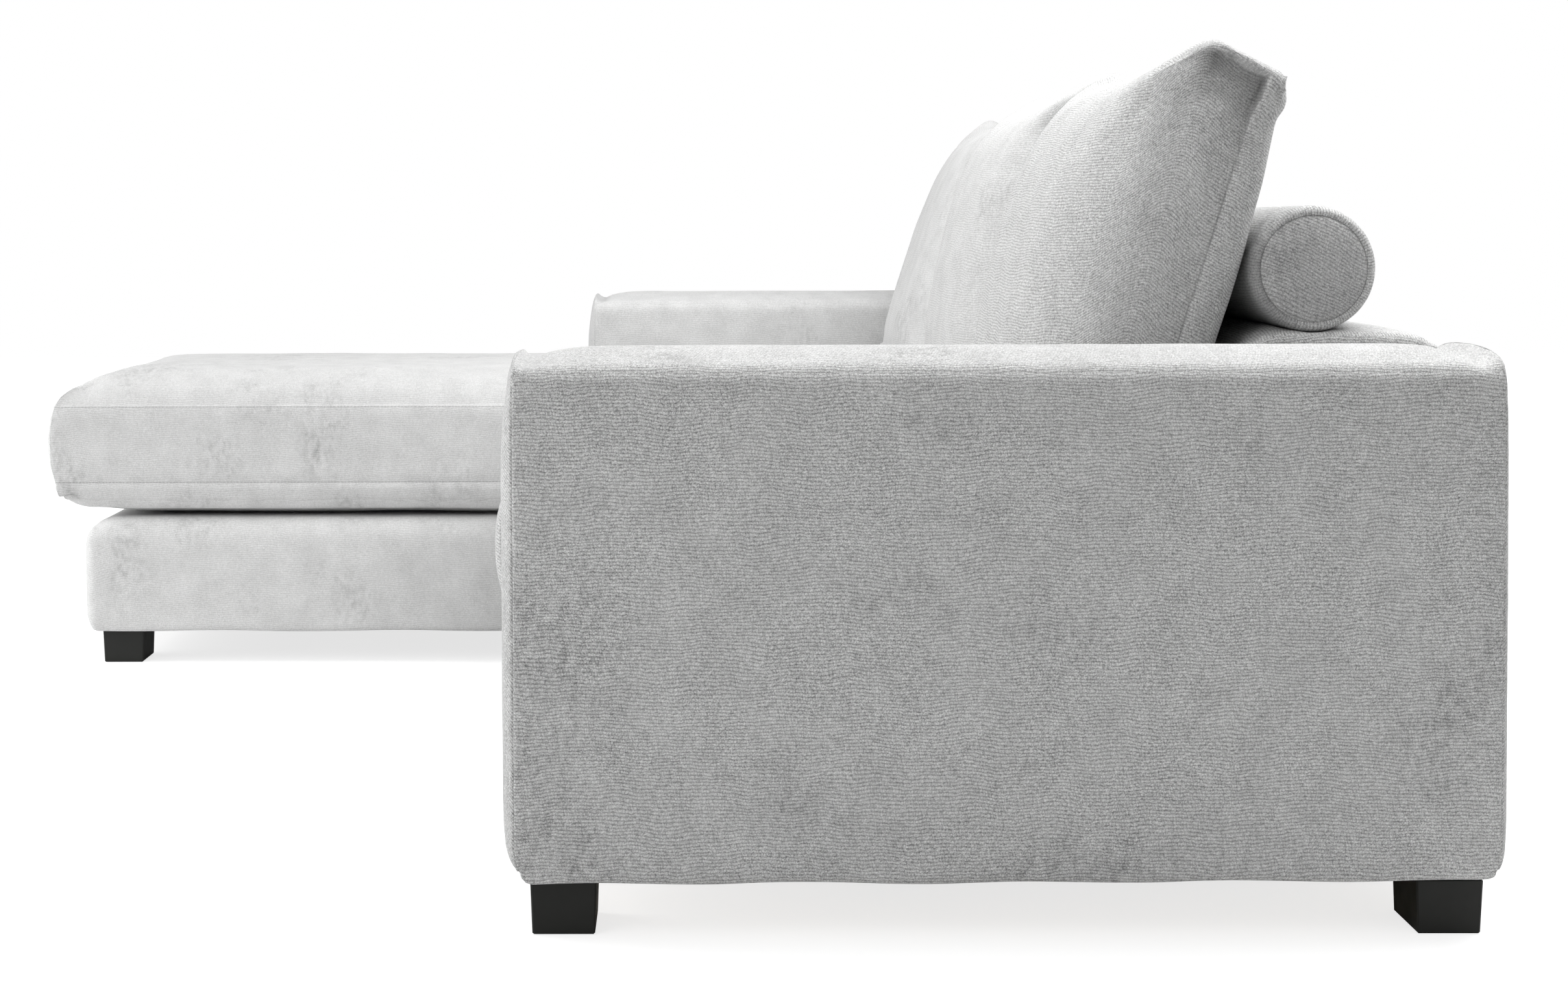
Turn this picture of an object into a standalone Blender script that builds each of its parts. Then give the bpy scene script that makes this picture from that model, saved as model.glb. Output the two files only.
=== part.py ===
"""Lounge sofa with a chaise: two upholstered modules on block feet, loose cushions and back bolsters.

Metres, +Z up. The front faces -Y, the chaise runs forward at the -X end, and the origin is on the floor
under the middle of the sofa.
"""

import math

import bmesh
import bpy
from mathutils import Vector

# Driving dimensions: widths along X
ARM_WIDTH = 0.220
SEAT_WIDTH = 0.595
CHAISE_WIDTH = 0.610

# Driving dimensions: depths along Y
BACK_DEPTH = 0.228
SEAT_DEPTH = 0.7720
CHAISE_DEPTH = 1.5610
ARM_LENGTH = 0.931
ARM_SETBACK = 0.0175
CUSHION_OVERHANG = 0.071

# Driving dimensions: heights along Z
FOOT_HEIGHT = 0.0525
DECK_HEIGHT = 0.227
SEAT_THICKNESS = 0.2300
ARM_HEIGHT = 0.556
BACK_HEIGHT = 0.5625
BACK_CUSHION_TOP = 0.876

# Clearances and cut overruns
CLEARANCE = 0.0003
CUSHION_GAP = 0.003
OVERRUN = 0.010

# Timber and board
RAIL_THICKNESS = 0.025
BOARD_THICKNESS = 0.018
ARRIS = 0.002
BACK_TOP_RAIL_HEIGHT = 0.060

# Foam and fabric covers
COVER_WALL = 0.025
BACK_COVER_WALL = 0.030
DUST_COVER_THICKNESS = 0.0015
DUST_COVER_INSET = 0.030

# Crowns, bulges and seams of the upholstery
ARM_CROWN = 0.018
ARM_PANEL_BULGE = 0.021
ARM_END_SINK = 0.010
ARM_LIP_CROWN = 0.004
ARM_FRONT_LIP_RISE = 0.012
ARM_REAR_LIP_RISE = 0.021
BACK_CROWN = 0.022
DECK_EDGE_DROP = 0.022
SEAT_CROWN = 0.020
SEAT_FRONT_DROP = 0.030
SEAT_WATERFALL = 0.044
SEAT_TUCK = 0.022
SEAT_FRONT_BULGE = 0.014
CUSHION_DRAW_IN = 0.007
CUSHION_SIDE_ROLL = 0.012

# Back cushions
BACK_CUSHION_DEPTH = 0.208
BACK_CUSHION_TOP_DEPTH = 0.196
BACK_CUSHION_TOP_RISE = 0.048
BACK_CUSHION_LEAN = math.radians(13.5)
BACK_CUSHION_FULLNESS = 0.022
BACK_CUSHION_END_TAPER = 0.018

# Bolsters
BOLSTER_RADIUS = 0.0655
BOLSTER_SETBACK = 0.0900
BOLSTER_END_DOME = 0.010
BOLSTER_SEAM_INSET = 0.010
BOLSTER_SEAM_DEPTH = 0.004
BOLSTER_STEPS = 24

# Springs
SPRING_WIRE_RADIUS = 0.0019
SPRING_WIDTH = 0.048
SPRING_PITCH = 0.050
SPRING_ARCH = 0.010
SPRING_BEARING = 0.016
MAIN_SPRINGS = 6
CHAISE_SPRINGS = 6

# Feet
FOOT_WIDTH = 0.0634
FOOT_LENGTH = 0.0780
FOOT_TAPER = 0.0018
FOOT_ARRIS = 0.0015
ARM_FOOT_INSET = 0.020
ARM_FOOT_SETBACK = 0.0150
ARM_FOOT_REAR_SETBACK = 0.0117
BASE_FOOT_INSET = 0.015
BASE_FOOT_SETBACK = 0.0265

# Joining plates
PLATE_LENGTH = 0.150
PLATE_WIDTH = 0.036
PLATE_THICKNESS = 0.004
PLATE_HOLE_RADIUS = 0.0035
PLATE_HOLE_SPACING = 0.040
PLATE_HOLE_STEPS = 10
PLATE_SETBACK = 0.130

# Places worked out from the driving dimensions
OVERALL_WIDTH = 2 * ARM_WIDTH + 2 * SEAT_WIDTH + CHAISE_WIDTH
OVERALL_DEPTH = BACK_DEPTH + CLEARANCE + CHAISE_DEPTH
NEAR_X = OVERALL_WIDTH / 2
FAR_X = -NEAR_X
NEAR_ARM_X = NEAR_X - ARM_WIDTH
FAR_ARM_X = FAR_X + ARM_WIDTH
SPLIT_X = FAR_ARM_X + CHAISE_WIDTH
SEAT_SPLIT_X = SPLIT_X + SEAT_WIDTH
REAR_Y = OVERALL_DEPTH / 2
BACK_FRONT_Y = REAR_Y - BACK_DEPTH
SEAT_REAR_Y = BACK_FRONT_Y - CLEARANCE
SEAT_FRONT_Y = SEAT_REAR_Y - SEAT_DEPTH
CHAISE_FRONT_Y = SEAT_REAR_Y - CHAISE_DEPTH
ARM_REAR_Y = REAR_Y - ARM_SETBACK
ARM_FRONT_Y = ARM_REAR_Y - ARM_LENGTH
SHELL_Z = FOOT_HEIGHT + CLEARANCE
RAIL_Z = SHELL_Z + DUST_COVER_THICKNESS + CLEARANCE
DECK_UNDERSIDE_Z = DECK_HEIGHT - COVER_WALL
RAIL_TOP_Z = DECK_UNDERSIDE_Z - 2 * CLEARANCE - 2 * SPRING_WIRE_RADIUS - SPRING_ARCH
CUSHION_Z = DECK_HEIGHT + CLEARANCE
SEAT_TOP_Z = CUSHION_Z + SEAT_THICKNESS

# Cage cuts, as shares of a half size
END_SHARES = (-0.88, -0.45, 0.0, 0.45, 0.88)
LONG_SHARES = (-0.95, -0.55, 0.0, 0.55, 0.95)
CUSHION_SHARES = (-0.86, -0.35, 0.35, 0.86)
LONG_CUSHION_SHARES = (-0.92, -0.62, -0.2, 0.2, 0.62, 0.93)
THICK_SHARES = (-0.72, 0.0, 0.66)
WALL_SHARES = (-0.9, 0.0, 0.86)
ARM_WALL_SHARES = (-0.95, 0.0, 0.88)


def material(name, colour, roughness, metallic=0.0):
    """One Principled material."""
    made = bpy.data.materials.new(name)
    made.use_nodes = True
    shader = made.node_tree.nodes["Principled BSDF"]
    shader.inputs["Base Color"].default_value = (*colour, 1.0)
    shader.inputs["Roughness"].default_value = roughness
    shader.inputs["Metallic"].default_value = metallic
    return made


def place_object(name, data, collection, finish, location=(0.0, 0.0, 0.0)):
    """Links one named object that carries its own material."""
    made = bpy.data.objects.new(name, data)
    collection.objects.link(made)
    made.location = location
    data.materials.append(finish)
    return made


def box_mesh(name, low, high):
    """A box between two corners, as a mesh."""
    low, high = Vector(low), Vector(high)
    shape = bmesh.new()
    bmesh.ops.create_cube(shape, size=1.0)
    bmesh.ops.scale(shape, vec=high - low, verts=shape.verts)
    bmesh.ops.translate(shape, vec=(low + high) / 2, verts=shape.verts)
    data = bpy.data.meshes.new(name)
    shape.to_mesh(data)
    shape.free()
    return data


def add_arris(obj, width):
    """Breaks the sharp edges of a board or block."""
    bevel = obj.modifiers.new("Arris", "BEVEL")
    bevel.width = width
    bevel.segments = 1
    bevel.limit_method = "ANGLE"


def board(name, low, high, collection, finish):
    """One plank or panel with broken edges."""
    made = place_object(name, box_mesh(name, low, high), collection, finish)
    add_arris(made, ARRIS)
    return made


def sheet(name, low, high, collection, finish):
    """One thin flat sheet."""
    return place_object(name, box_mesh(name, low, high), collection, finish)


def cage_mesh(name, shares, place, origin):
    """A cube cut at shares of its half size along X, Y and Z, with every point then placed by a rule."""
    shape = bmesh.new()
    bmesh.ops.create_cube(shape, size=2.0)
    for axis, cuts in enumerate(shares):
        normal = Vector((0.0, 0.0, 0.0))
        normal[axis] = 1.0
        for share in cuts:
            everything = shape.verts[:] + shape.edges[:] + shape.faces[:]
            bmesh.ops.bisect_plane(shape, geom=everything, plane_co=normal * share, plane_no=normal)
    for point in shape.verts:
        point.co = Vector(place(*point.co)) - Vector(origin)
    data = bpy.data.meshes.new(name)
    shape.to_mesh(data)
    shape.free()
    data.shade_smooth()
    return data


def add_smoothing(obj, levels=1):
    """Rounds a coarse cage."""
    smoothing = obj.modifiers.new("Smoothing", "SUBSURF")
    smoothing.levels = levels
    smoothing.render_levels = levels


def add_cavity(obj, low, high, cutters, finish):
    """Cuts the hollow that a cover leaves for its frame, open underneath."""
    name = obj.name + "_cavity"
    cutter = place_object(name, box_mesh(name, low, high), cutters, finish)
    cutter.hide_render = True
    cutter.display_type = "WIRE"
    cut = obj.modifiers.new("Cavity", "BOOLEAN")
    cut.operation = "DIFFERENCE"
    cut.object = cutter


def between(low, high, share):
    """The value at a share from -1 to 1 of the way from low to high."""
    return low + (high - low) * (share + 1.0) / 2.0


def arm_point(low, high):
    """Rule for an arm: crowned top that dips at both ends, end panels that belly out, and a lip along each top seam."""

    def place(a, b, c):
        across = 1.0 - a * a
        x = between(low.x, high.x, a)
        belly = ARM_PANEL_BULGE * across * (1.0 - c**4)
        end = max(abs(b) - LONG_SHARES[-1], 0.0) / (1.0 - LONG_SHARES[-1])
        y = between(low.y, high.y, b) + math.copysign(belly * end, b)
        crown = ARM_CROWN + (ARM_LIP_CROWN - ARM_CROWN) * end
        lip = ARM_REAR_LIP_RISE if b > 0.0 else ARM_FRONT_LIP_RISE
        top = high.z - crown * (1.0 - across) - ARM_END_SINK * b**12 + lip * end
        return x, y, between(low.z, top, c)

    return place


def back_point(low, high):
    """Rule for the upholstered back: a low box whose top is crowned from front to rear."""

    def place(a, b, c):
        top = high.z - BACK_CROWN * b**4
        return between(low.x, high.x, a), between(low.y, high.y, b), between(low.z, top, c)

    return place


def base_point(low, high):
    """Rule for a base cover: flat deck, front and side edges that drop over the rails."""

    def place(a, b, c):
        edge = max(abs(a) - END_SHARES[-1], 0.0) / (1.0 - END_SHARES[-1])
        front = max(-b - LONG_SHARES[-1], 0.0) / (1.0 - LONG_SHARES[-1])
        top = high.z - DECK_EDGE_DROP * max(edge, front)
        return between(low.x, high.x, a), between(low.y, high.y, b), between(low.z, top, c)

    return place


def seat_point(low, high):
    """Rule for a seat cushion: crowned top, rounded front, sides drawn in between the corners, flat underneath."""

    def place(a, b, c):
        inward = CUSHION_DRAW_IN * (1.0 - b**4) + CUSHION_SIDE_ROLL * c * c
        x = between(low.x, high.x, a) - a * inward
        front = SEAT_FRONT_BULGE * a**4 + SEAT_WATERFALL * max(c, 0.0) ** 3 + SEAT_TUCK * max(-c, 0.0) ** 3
        rear = CUSHION_DRAW_IN * (1.0 - a**4)
        y = between(low.y, high.y, b) + max(-b, 0.0) ** 3 * front - max(b, 0.0) ** 3 * rear
        top = high.z - SEAT_CROWN * a**4 * (1.0 - b**6) - SEAT_FRONT_DROP * max(-b, 0.0) ** 6
        return x, y, between(low.z, top, c)

    return place


def back_cushion_point(low_x, high_x, floor_z, top_z, rear_y):
    """Rule for a back cushion: a plump block leaning on the back, thinner at its top and at its two ends."""

    def place(a, b, c):
        height = top_z - floor_z
        rise = (c + 1.0) / 2.0
        depth = BACK_CUSHION_DEPTH + (BACK_CUSHION_TOP_DEPTH - BACK_CUSHION_DEPTH) * rise**4
        plump = (1.0 - a**4) * (1.0 - c * c)
        depth += BACK_CUSHION_FULLNESS * plump - BACK_CUSHION_END_TAPER * a**4
        rear = rear_y + math.tan(BACK_CUSHION_LEAN) * height * rise
        edge_drop = BACK_CUSHION_TOP_RISE * b * b * rise
        end_drop = CUSHION_SIDE_ROLL * a**4 * rise
        x = between(low_x, high_x, a) - a * CUSHION_DRAW_IN * (1.0 - c**4)
        y = rear - depth * (1.0 - b) / 2.0
        return x, y, floor_z + height * rise - edge_drop - end_drop

    return place


def upholstered(name, low, high, shares, rule, wall, crown, collection, cutters, finish):
    """A foam and fabric cover: a smoothed cage with a hollow for its frame. Returns the hollow's two corners."""
    origin = Vector(((low.x + high.x) / 2, (low.y + high.y) / 2, low.z))
    made = place_object(name, cage_mesh(name, shares, rule(low, high), origin), collection, finish, origin)
    add_smoothing(made)
    inner_low = low + Vector((wall, wall, 0.0))
    inner_high = high - Vector((wall, wall, wall + crown))
    add_cavity(made, inner_low - Vector((0.0, 0.0, OVERRUN)), inner_high, cutters, finish)
    return inner_low, inner_high


def arm(side, low_x, high_x, collection, cutters, looks):
    """One box arm: four boards inside a foam and fabric cover."""
    low = Vector((low_x, ARM_FRONT_Y, SHELL_Z))
    high = Vector((high_x, ARM_REAR_Y, ARM_HEIGHT))
    shares = (END_SHARES, LONG_SHARES, ARM_WALL_SHARES)
    inner_low, inner_high = upholstered(side + "_arm_cover", low, high, shares, arm_point, COVER_WALL, ARM_CROWN,
                                        collection, cutters, looks["fabric"])
    gap = CLEARANCE
    x0, x1 = inner_low.x + gap, inner_high.x - gap
    y0, y1 = inner_low.y + gap, inner_high.y - gap
    z0, z1 = inner_low.z, inner_high.z - gap
    y_in0, y_in1 = y0 + BOARD_THICKNESS + gap, y1 - BOARD_THICKNESS - gap
    boards = (
        ("front", (x0, y0, z0), (x1, y0 + BOARD_THICKNESS, z1)),
        ("rear", (x0, y1 - BOARD_THICKNESS, z0), (x1, y1, z1)),
        ("top", (x0, y_in0, z1 - BOARD_THICKNESS), (x1, y_in1, z1)),
        ("bottom", (x0, y_in0, z0), (x1, y_in1, z0 + BOARD_THICKNESS)),
    )
    for part, board_low, board_high in boards:
        board(side + "_arm_" + part + "_board", board_low, board_high, collection, looks["plywood"])


def module_back(prefix, low_x, high_x, collection, cutters, looks):
    """The back of one module: a plywood board and a top rail inside a crowned cover."""
    low = Vector((low_x, BACK_FRONT_Y, RAIL_Z))
    high = Vector((high_x, REAR_Y, BACK_HEIGHT))
    shares = (END_SHARES, CUSHION_SHARES, WALL_SHARES)
    inner_low, inner_high = upholstered(prefix + "_back_cover", low, high, shares, back_point, BACK_COVER_WALL,
                                        BACK_CROWN, collection, cutters, looks["fabric"])
    gap = CLEARANCE
    x0, x1 = inner_low.x + gap, inner_high.x - gap
    y0, y1 = inner_low.y + gap, inner_high.y - gap
    z0, z1 = inner_low.z, inner_high.z - gap
    board(prefix + "_back_board", (x0, y0, z0), (x1, y0 + BOARD_THICKNESS, z1), collection, looks["plywood"])
    board(prefix + "_back_top_rail", (x0, y0 + BOARD_THICKNESS + gap, z1 - BACK_TOP_RAIL_HEIGHT), (x1, y1, z1),
          collection, looks["timber"])


def zigzag_points(length, width, pitch, arch):
    """The centre line of one zigzag spring along +X from the origin: bars across it, joined by turns."""
    bars = max(round(length / pitch), 2)
    step = length / bars
    points = []
    for bar in range(bars + 1):
        side = 1.0 if bar % 2 == 0 else -1.0
        along = bar * step
        rise = arch * math.sin(math.pi * along / length)
        inner = (width - step) / 2
        points.append((along, -side * inner, rise))
        points.append((along, side * inner, rise))
        if bar < bars:
            turn = along + step / 2
            points.append((turn, side * width / 2, arch * math.sin(math.pi * turn / length)))
    return points


def spring(name, start, angle, length, collection, finish):
    """One zigzag spring, its end bars lying on the rails."""
    data = bpy.data.curves.new(name, "CURVE")
    data.dimensions = "3D"
    data.bevel_depth = SPRING_WIRE_RADIUS
    data.bevel_resolution = 0
    data.use_fill_caps = True
    points = zigzag_points(length, SPRING_WIDTH, SPRING_PITCH, SPRING_ARCH)
    line = data.splines.new("POLY")
    line.points.add(len(points) - 1)
    for point, place in zip(line.points, points):
        point.co = (*place, 1.0)
    made = place_object(name, data, collection, finish, start)
    made.rotation_euler = (0.0, 0.0, angle)
    return made


def module_base(prefix, low_x, high_x, front_y, collection, cutters, looks):
    """One base: four rails inside a cover with a flat deck, closed underneath by a dust cover.

    Returns the outer corners of its ring of rails."""
    low = Vector((low_x, front_y, RAIL_Z))
    high = Vector((high_x, SEAT_REAR_Y, DECK_HEIGHT))
    shares = (END_SHARES, LONG_SHARES, WALL_SHARES)
    inner_low, inner_high = upholstered(prefix + "_base_cover", low, high, shares, base_point, COVER_WALL, 0.0,
                                        collection, cutters, looks["fabric"])
    gap = CLEARANCE
    x0, x1 = inner_low.x + gap, inner_high.x - gap
    y0, y1 = inner_low.y + gap, inner_high.y - gap
    y_in0, y_in1 = y0 + RAIL_THICKNESS + gap, y1 - RAIL_THICKNESS - gap
    rails = (
        ("front", (x0, y0), (x1, y0 + RAIL_THICKNESS)),
        ("rear", (x0, y1 - RAIL_THICKNESS), (x1, y1)),
        ("far", (x0, y_in0), (x0 + RAIL_THICKNESS, y_in1)),
        ("near", (x1 - RAIL_THICKNESS, y_in0), (x1, y_in1)),
    )
    for part, rail_low, rail_high in rails:
        board(prefix + "_" + part + "_rail", (*rail_low, RAIL_Z), (*rail_high, RAIL_TOP_Z), collection,
              looks["timber"])
    inset = DUST_COVER_INSET
    sheet(prefix + "_dust_cover", (low.x + inset, low.y + inset, SHELL_Z),
          (high.x - inset, REAR_Y - inset, SHELL_Z + DUST_COVER_THICKNESS), collection, looks["dust_cloth"])
    return x0, x1, y0, y1


def springs_across(prefix, count, inner, lengthwise, collection, finish):
    """A row of zigzag springs from rail to rail, front to rear or side to side."""
    x0, x1, y0, y1 = inner
    bearing = RAIL_THICKNESS - SPRING_BEARING
    height = RAIL_TOP_Z + CLEARANCE + SPRING_WIRE_RADIUS
    run = (y1 - y0 if lengthwise else x1 - x0) - 2 * bearing
    room = x1 - x0 if lengthwise else y1 - y0
    for index in range(count):
        at = room * (index + 0.5) / count
        start = (x0 + at, y0 + bearing, height) if lengthwise else (x0 + bearing, y0 + at, height)
        angle = math.pi / 2 if lengthwise else 0.0
        spring(prefix + "_spring_" + str(index + 1), start, angle, run, collection, finish)


def foot(name, low_x, front_y, collection, finish):
    """One square block foot that narrows a little towards the floor."""
    centre = Vector((low_x + FOOT_LENGTH / 2, front_y + FOOT_WIDTH / 2, 0.0))
    shape = bmesh.new()
    bmesh.ops.create_cube(shape, size=1.0)
    for point in shape.verts:
        taper = FOOT_TAPER if point.co.z < 0.0 else 0.0
        point.co.x = math.copysign(FOOT_LENGTH / 2 - taper, point.co.x)
        point.co.y = math.copysign(FOOT_WIDTH / 2 - taper, point.co.y)
        point.co.z = 0.0 if point.co.z < 0.0 else FOOT_HEIGHT
    data = bpy.data.meshes.new(name)
    shape.to_mesh(data)
    shape.free()
    made = place_object(name, data, collection, finish, centre)
    add_arris(made, FOOT_ARRIS)
    return made


def feet(collection, finish):
    """Two feet under each arm, four under the chaise and two where the modules meet."""
    arm_front = ARM_FRONT_Y + ARM_FOOT_SETBACK
    arm_rear = ARM_REAR_Y - ARM_FOOT_REAR_SETBACK - FOOT_WIDTH
    main_front = SEAT_FRONT_Y + CUSHION_OVERHANG + BASE_FOOT_SETBACK
    chaise_front = CHAISE_FRONT_Y + CUSHION_OVERHANG + BASE_FOOT_SETBACK
    base_rear = REAR_Y - BASE_FOOT_SETBACK - FOOT_WIDTH
    near = NEAR_X - ARM_FOOT_INSET - FOOT_LENGTH
    far = FAR_X + ARM_FOOT_INSET
    joint_main = SPLIT_X + BASE_FOOT_INSET
    joint_chaise = SPLIT_X - BASE_FOOT_INSET - FOOT_LENGTH
    places = {
        "near_arm_front_foot": (near, arm_front),
        "near_arm_rear_foot": (near, arm_rear),
        "far_arm_front_foot": (far, arm_front),
        "far_arm_rear_foot": (far, arm_rear),
        "main_inner_front_foot": (joint_main, main_front),
        "main_inner_rear_foot": (joint_main, base_rear),
        "chaise_near_front_foot": (joint_chaise, chaise_front),
        "chaise_far_front_foot": (FAR_ARM_X + BASE_FOOT_INSET, chaise_front),
        "chaise_near_rear_foot": (joint_chaise, base_rear),
    }
    for name, (low_x, front_y) in places.items():
        foot(name, low_x, front_y, collection, finish)


def joining_plate(name, centre_y, collection, cutters, finish):
    """A flat steel bar screwed under both modules, with four screw holes."""
    top = SHELL_Z - CLEARANCE
    low = (SPLIT_X - PLATE_LENGTH / 2, centre_y - PLATE_WIDTH / 2, top - PLATE_THICKNESS)
    high = (SPLIT_X + PLATE_LENGTH / 2, centre_y + PLATE_WIDTH / 2, top)
    made = place_object(name, box_mesh(name, low, high), collection, finish)
    add_arris(made, PLATE_THICKNESS / 4)
    for index in range(4):
        side = 1.0 if index % 2 == 0 else -1.0
        reach = PLATE_HOLE_SPACING * (0.5 + index // 2)
        shape = bmesh.new()
        bmesh.ops.create_cone(shape, cap_ends=True, segments=PLATE_HOLE_STEPS, radius1=PLATE_HOLE_RADIUS,
                              radius2=PLATE_HOLE_RADIUS, depth=PLATE_THICKNESS + 2 * OVERRUN)
        hole_name = name + "_hole_" + str(index + 1)
        data = bpy.data.meshes.new(hole_name)
        shape.to_mesh(data)
        shape.free()
        centre = (SPLIT_X + side * reach, centre_y, top - PLATE_THICKNESS / 2)
        cutter = place_object(hole_name, data, cutters, finish, centre)
        cutter.hide_render = True
        cutter.display_type = "WIRE"
        cut = made.modifiers.new("Hole", "BOOLEAN")
        cut.operation = "DIFFERENCE"
        cut.object = cutter


def seat_cushion(name, low_x, high_x, front_y, collection, finish):
    """One loose seat cushion lying on the deck."""
    half_gap = CUSHION_GAP / 2
    low = Vector((low_x + half_gap, front_y, CUSHION_Z))
    high = Vector((high_x - half_gap, SEAT_REAR_Y - CLEARANCE, SEAT_TOP_Z))
    origin = Vector(((low.x + high.x) / 2, (low.y + high.y) / 2, low.z))
    lengthwise = LONG_CUSHION_SHARES if front_y == CHAISE_FRONT_Y else CUSHION_SHARES
    shares = (CUSHION_SHARES, lengthwise, THICK_SHARES)
    data = cage_mesh(name, shares, seat_point(low, high), origin)
    made = place_object(name, data, collection, finish, origin)
    add_smoothing(made)


def back_cushion(name, low_x, high_x, collection, finish):
    """One loose back cushion standing on a seat cushion and leaning on the back."""
    half_gap = CUSHION_GAP / 2
    floor_z = SEAT_TOP_Z + CLEARANCE
    rear_y = BACK_FRONT_Y - math.tan(BACK_CUSHION_LEAN) * (BACK_HEIGHT - floor_z)
    low_x, high_x = low_x + half_gap, high_x - half_gap
    origin = Vector(((low_x + high_x) / 2, rear_y, floor_z))
    shares = (CUSHION_SHARES, THICK_SHARES, CUSHION_SHARES)
    rule = back_cushion_point(low_x, high_x, floor_z, BACK_CUSHION_TOP, rear_y)
    made = place_object(name, cage_mesh(name, shares, rule, origin), collection, finish, origin)
    add_smoothing(made)


def bolster(name, low_x, high_x, collection, finish):
    """One round bolster lying along the top of the back, its domed ends set in by a seam."""
    half = (high_x - low_x) / 2 - CUSHION_GAP / 2
    face = half - BOLSTER_END_DOME
    seam = BOLSTER_RADIUS - BOLSTER_SEAM_INSET
    upper = (
        (0.0, half),
        (seam / 2, half - BOLSTER_END_DOME / 4),
        (seam, face),
        (seam + BOLSTER_SEAM_DEPTH / 2, face - BOLSTER_SEAM_DEPTH),
        (seam + BOLSTER_SEAM_DEPTH, face),
        (BOLSTER_RADIUS, face - BOLSTER_SEAM_INSET),
    )
    lower = tuple((radius, -height) for radius, height in reversed(upper))
    data = bpy.data.meshes.new(name)
    profile = bmesh.new()
    points = [profile.verts.new((radius, 0.0, height)) for radius, height in upper + lower]
    for start, end in zip(points, points[1:]):
        profile.edges.new((start, end))
    profile.to_mesh(data)
    profile.free()
    centre = ((low_x + high_x) / 2, BACK_FRONT_Y + BOLSTER_SETBACK, BACK_HEIGHT + CLEARANCE + BOLSTER_RADIUS)
    made = place_object(name, data, collection, finish, centre)
    made.rotation_euler = (0.0, math.pi / 2, 0.0)
    turn = made.modifiers.new("Turned", "SCREW")
    turn.steps = BOLSTER_STEPS
    turn.render_steps = BOLSTER_STEPS
    turn.use_merge_vertices = True
    turn.merge_threshold = 0.0001
    turn.use_smooth_shade = True


def main():
    for old in list(bpy.data.objects):
        bpy.data.objects.remove(old, do_unlink=True)
    parts = bpy.data.collections.new("lounge_sofa")
    cutters = bpy.data.collections.new("lounge_sofa_cutters")
    bpy.context.scene.collection.children.link(parts)
    bpy.context.scene.collection.children.link(cutters)
    looks = {
        "fabric": material("light_grey_chenille", (0.58, 0.58, 0.57), 0.9),
        "timber": material("pine_timber", (0.62, 0.45, 0.27), 0.7),
        "plywood": material("birch_plywood", (0.68, 0.54, 0.36), 0.65),
        "spring_steel": material("spring_steel", (0.30, 0.30, 0.31), 0.4, 1.0),
        "plate_steel": material("zinc_plate", (0.55, 0.56, 0.58), 0.35, 1.0),
        "dust_cloth": material("black_dust_cloth", (0.02, 0.02, 0.02), 0.95),
        "foot_black": material("black_foot", (0.022, 0.022, 0.018), 0.5),
    }
    half_gap = CLEARANCE / 2
    main_low, main_high = SPLIT_X + half_gap, NEAR_ARM_X - CLEARANCE
    chaise_low, chaise_high = FAR_ARM_X + CLEARANCE, SPLIT_X - half_gap

    arm("near", NEAR_ARM_X, NEAR_X, parts, cutters, looks)
    arm("far", FAR_X, FAR_ARM_X, parts, cutters, looks)
    module_back("main", main_low, main_high, parts, cutters, looks)
    module_back("chaise", chaise_low, chaise_high, parts, cutters, looks)
    main_front = SEAT_FRONT_Y + CUSHION_OVERHANG
    chaise_front = CHAISE_FRONT_Y + CUSHION_OVERHANG
    main_inner = module_base("main", main_low, main_high, main_front, parts, cutters, looks)
    chaise_inner = module_base("chaise", chaise_low, chaise_high, chaise_front, parts, cutters, looks)
    springs_across("main", MAIN_SPRINGS, main_inner, True, parts, looks["spring_steel"])
    springs_across("chaise", CHAISE_SPRINGS, chaise_inner, False, parts, looks["spring_steel"])
    feet(parts, looks["foot_black"])
    joining_plate("front_joining_plate", main_front + PLATE_SETBACK, parts, cutters, looks["plate_steel"])
    joining_plate("rear_joining_plate", REAR_Y - PLATE_SETBACK, parts, cutters, looks["plate_steel"])

    fabric = looks["fabric"]
    seat_cushion("near_seat_cushion", SEAT_SPLIT_X, NEAR_ARM_X, SEAT_FRONT_Y, parts, fabric)
    seat_cushion("middle_seat_cushion", SPLIT_X, SEAT_SPLIT_X, SEAT_FRONT_Y, parts, fabric)
    seat_cushion("chaise_seat_cushion", FAR_ARM_X, SPLIT_X, CHAISE_FRONT_Y, parts, fabric)
    back_cushion("near_back_cushion", SEAT_SPLIT_X, NEAR_ARM_X, parts, fabric)
    back_cushion("middle_back_cushion", SPLIT_X, SEAT_SPLIT_X, parts, fabric)
    back_cushion("chaise_back_cushion", FAR_ARM_X, SPLIT_X, parts, fabric)
    bolster("main_bolster", SPLIT_X, NEAR_ARM_X, parts, fabric)
    bolster("chaise_bolster", FAR_ARM_X, SPLIT_X, parts, fabric)


main()
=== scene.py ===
"""Lounge sofa with a chaise: upholstery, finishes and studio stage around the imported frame.

Metres, in the frame of the part: +Z up, the front faces -Y, and the chaise runs forward at the -X end.
"""

import math

import bpy
import numpy as np
from mathutils import Matrix, Vector, noise


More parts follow.
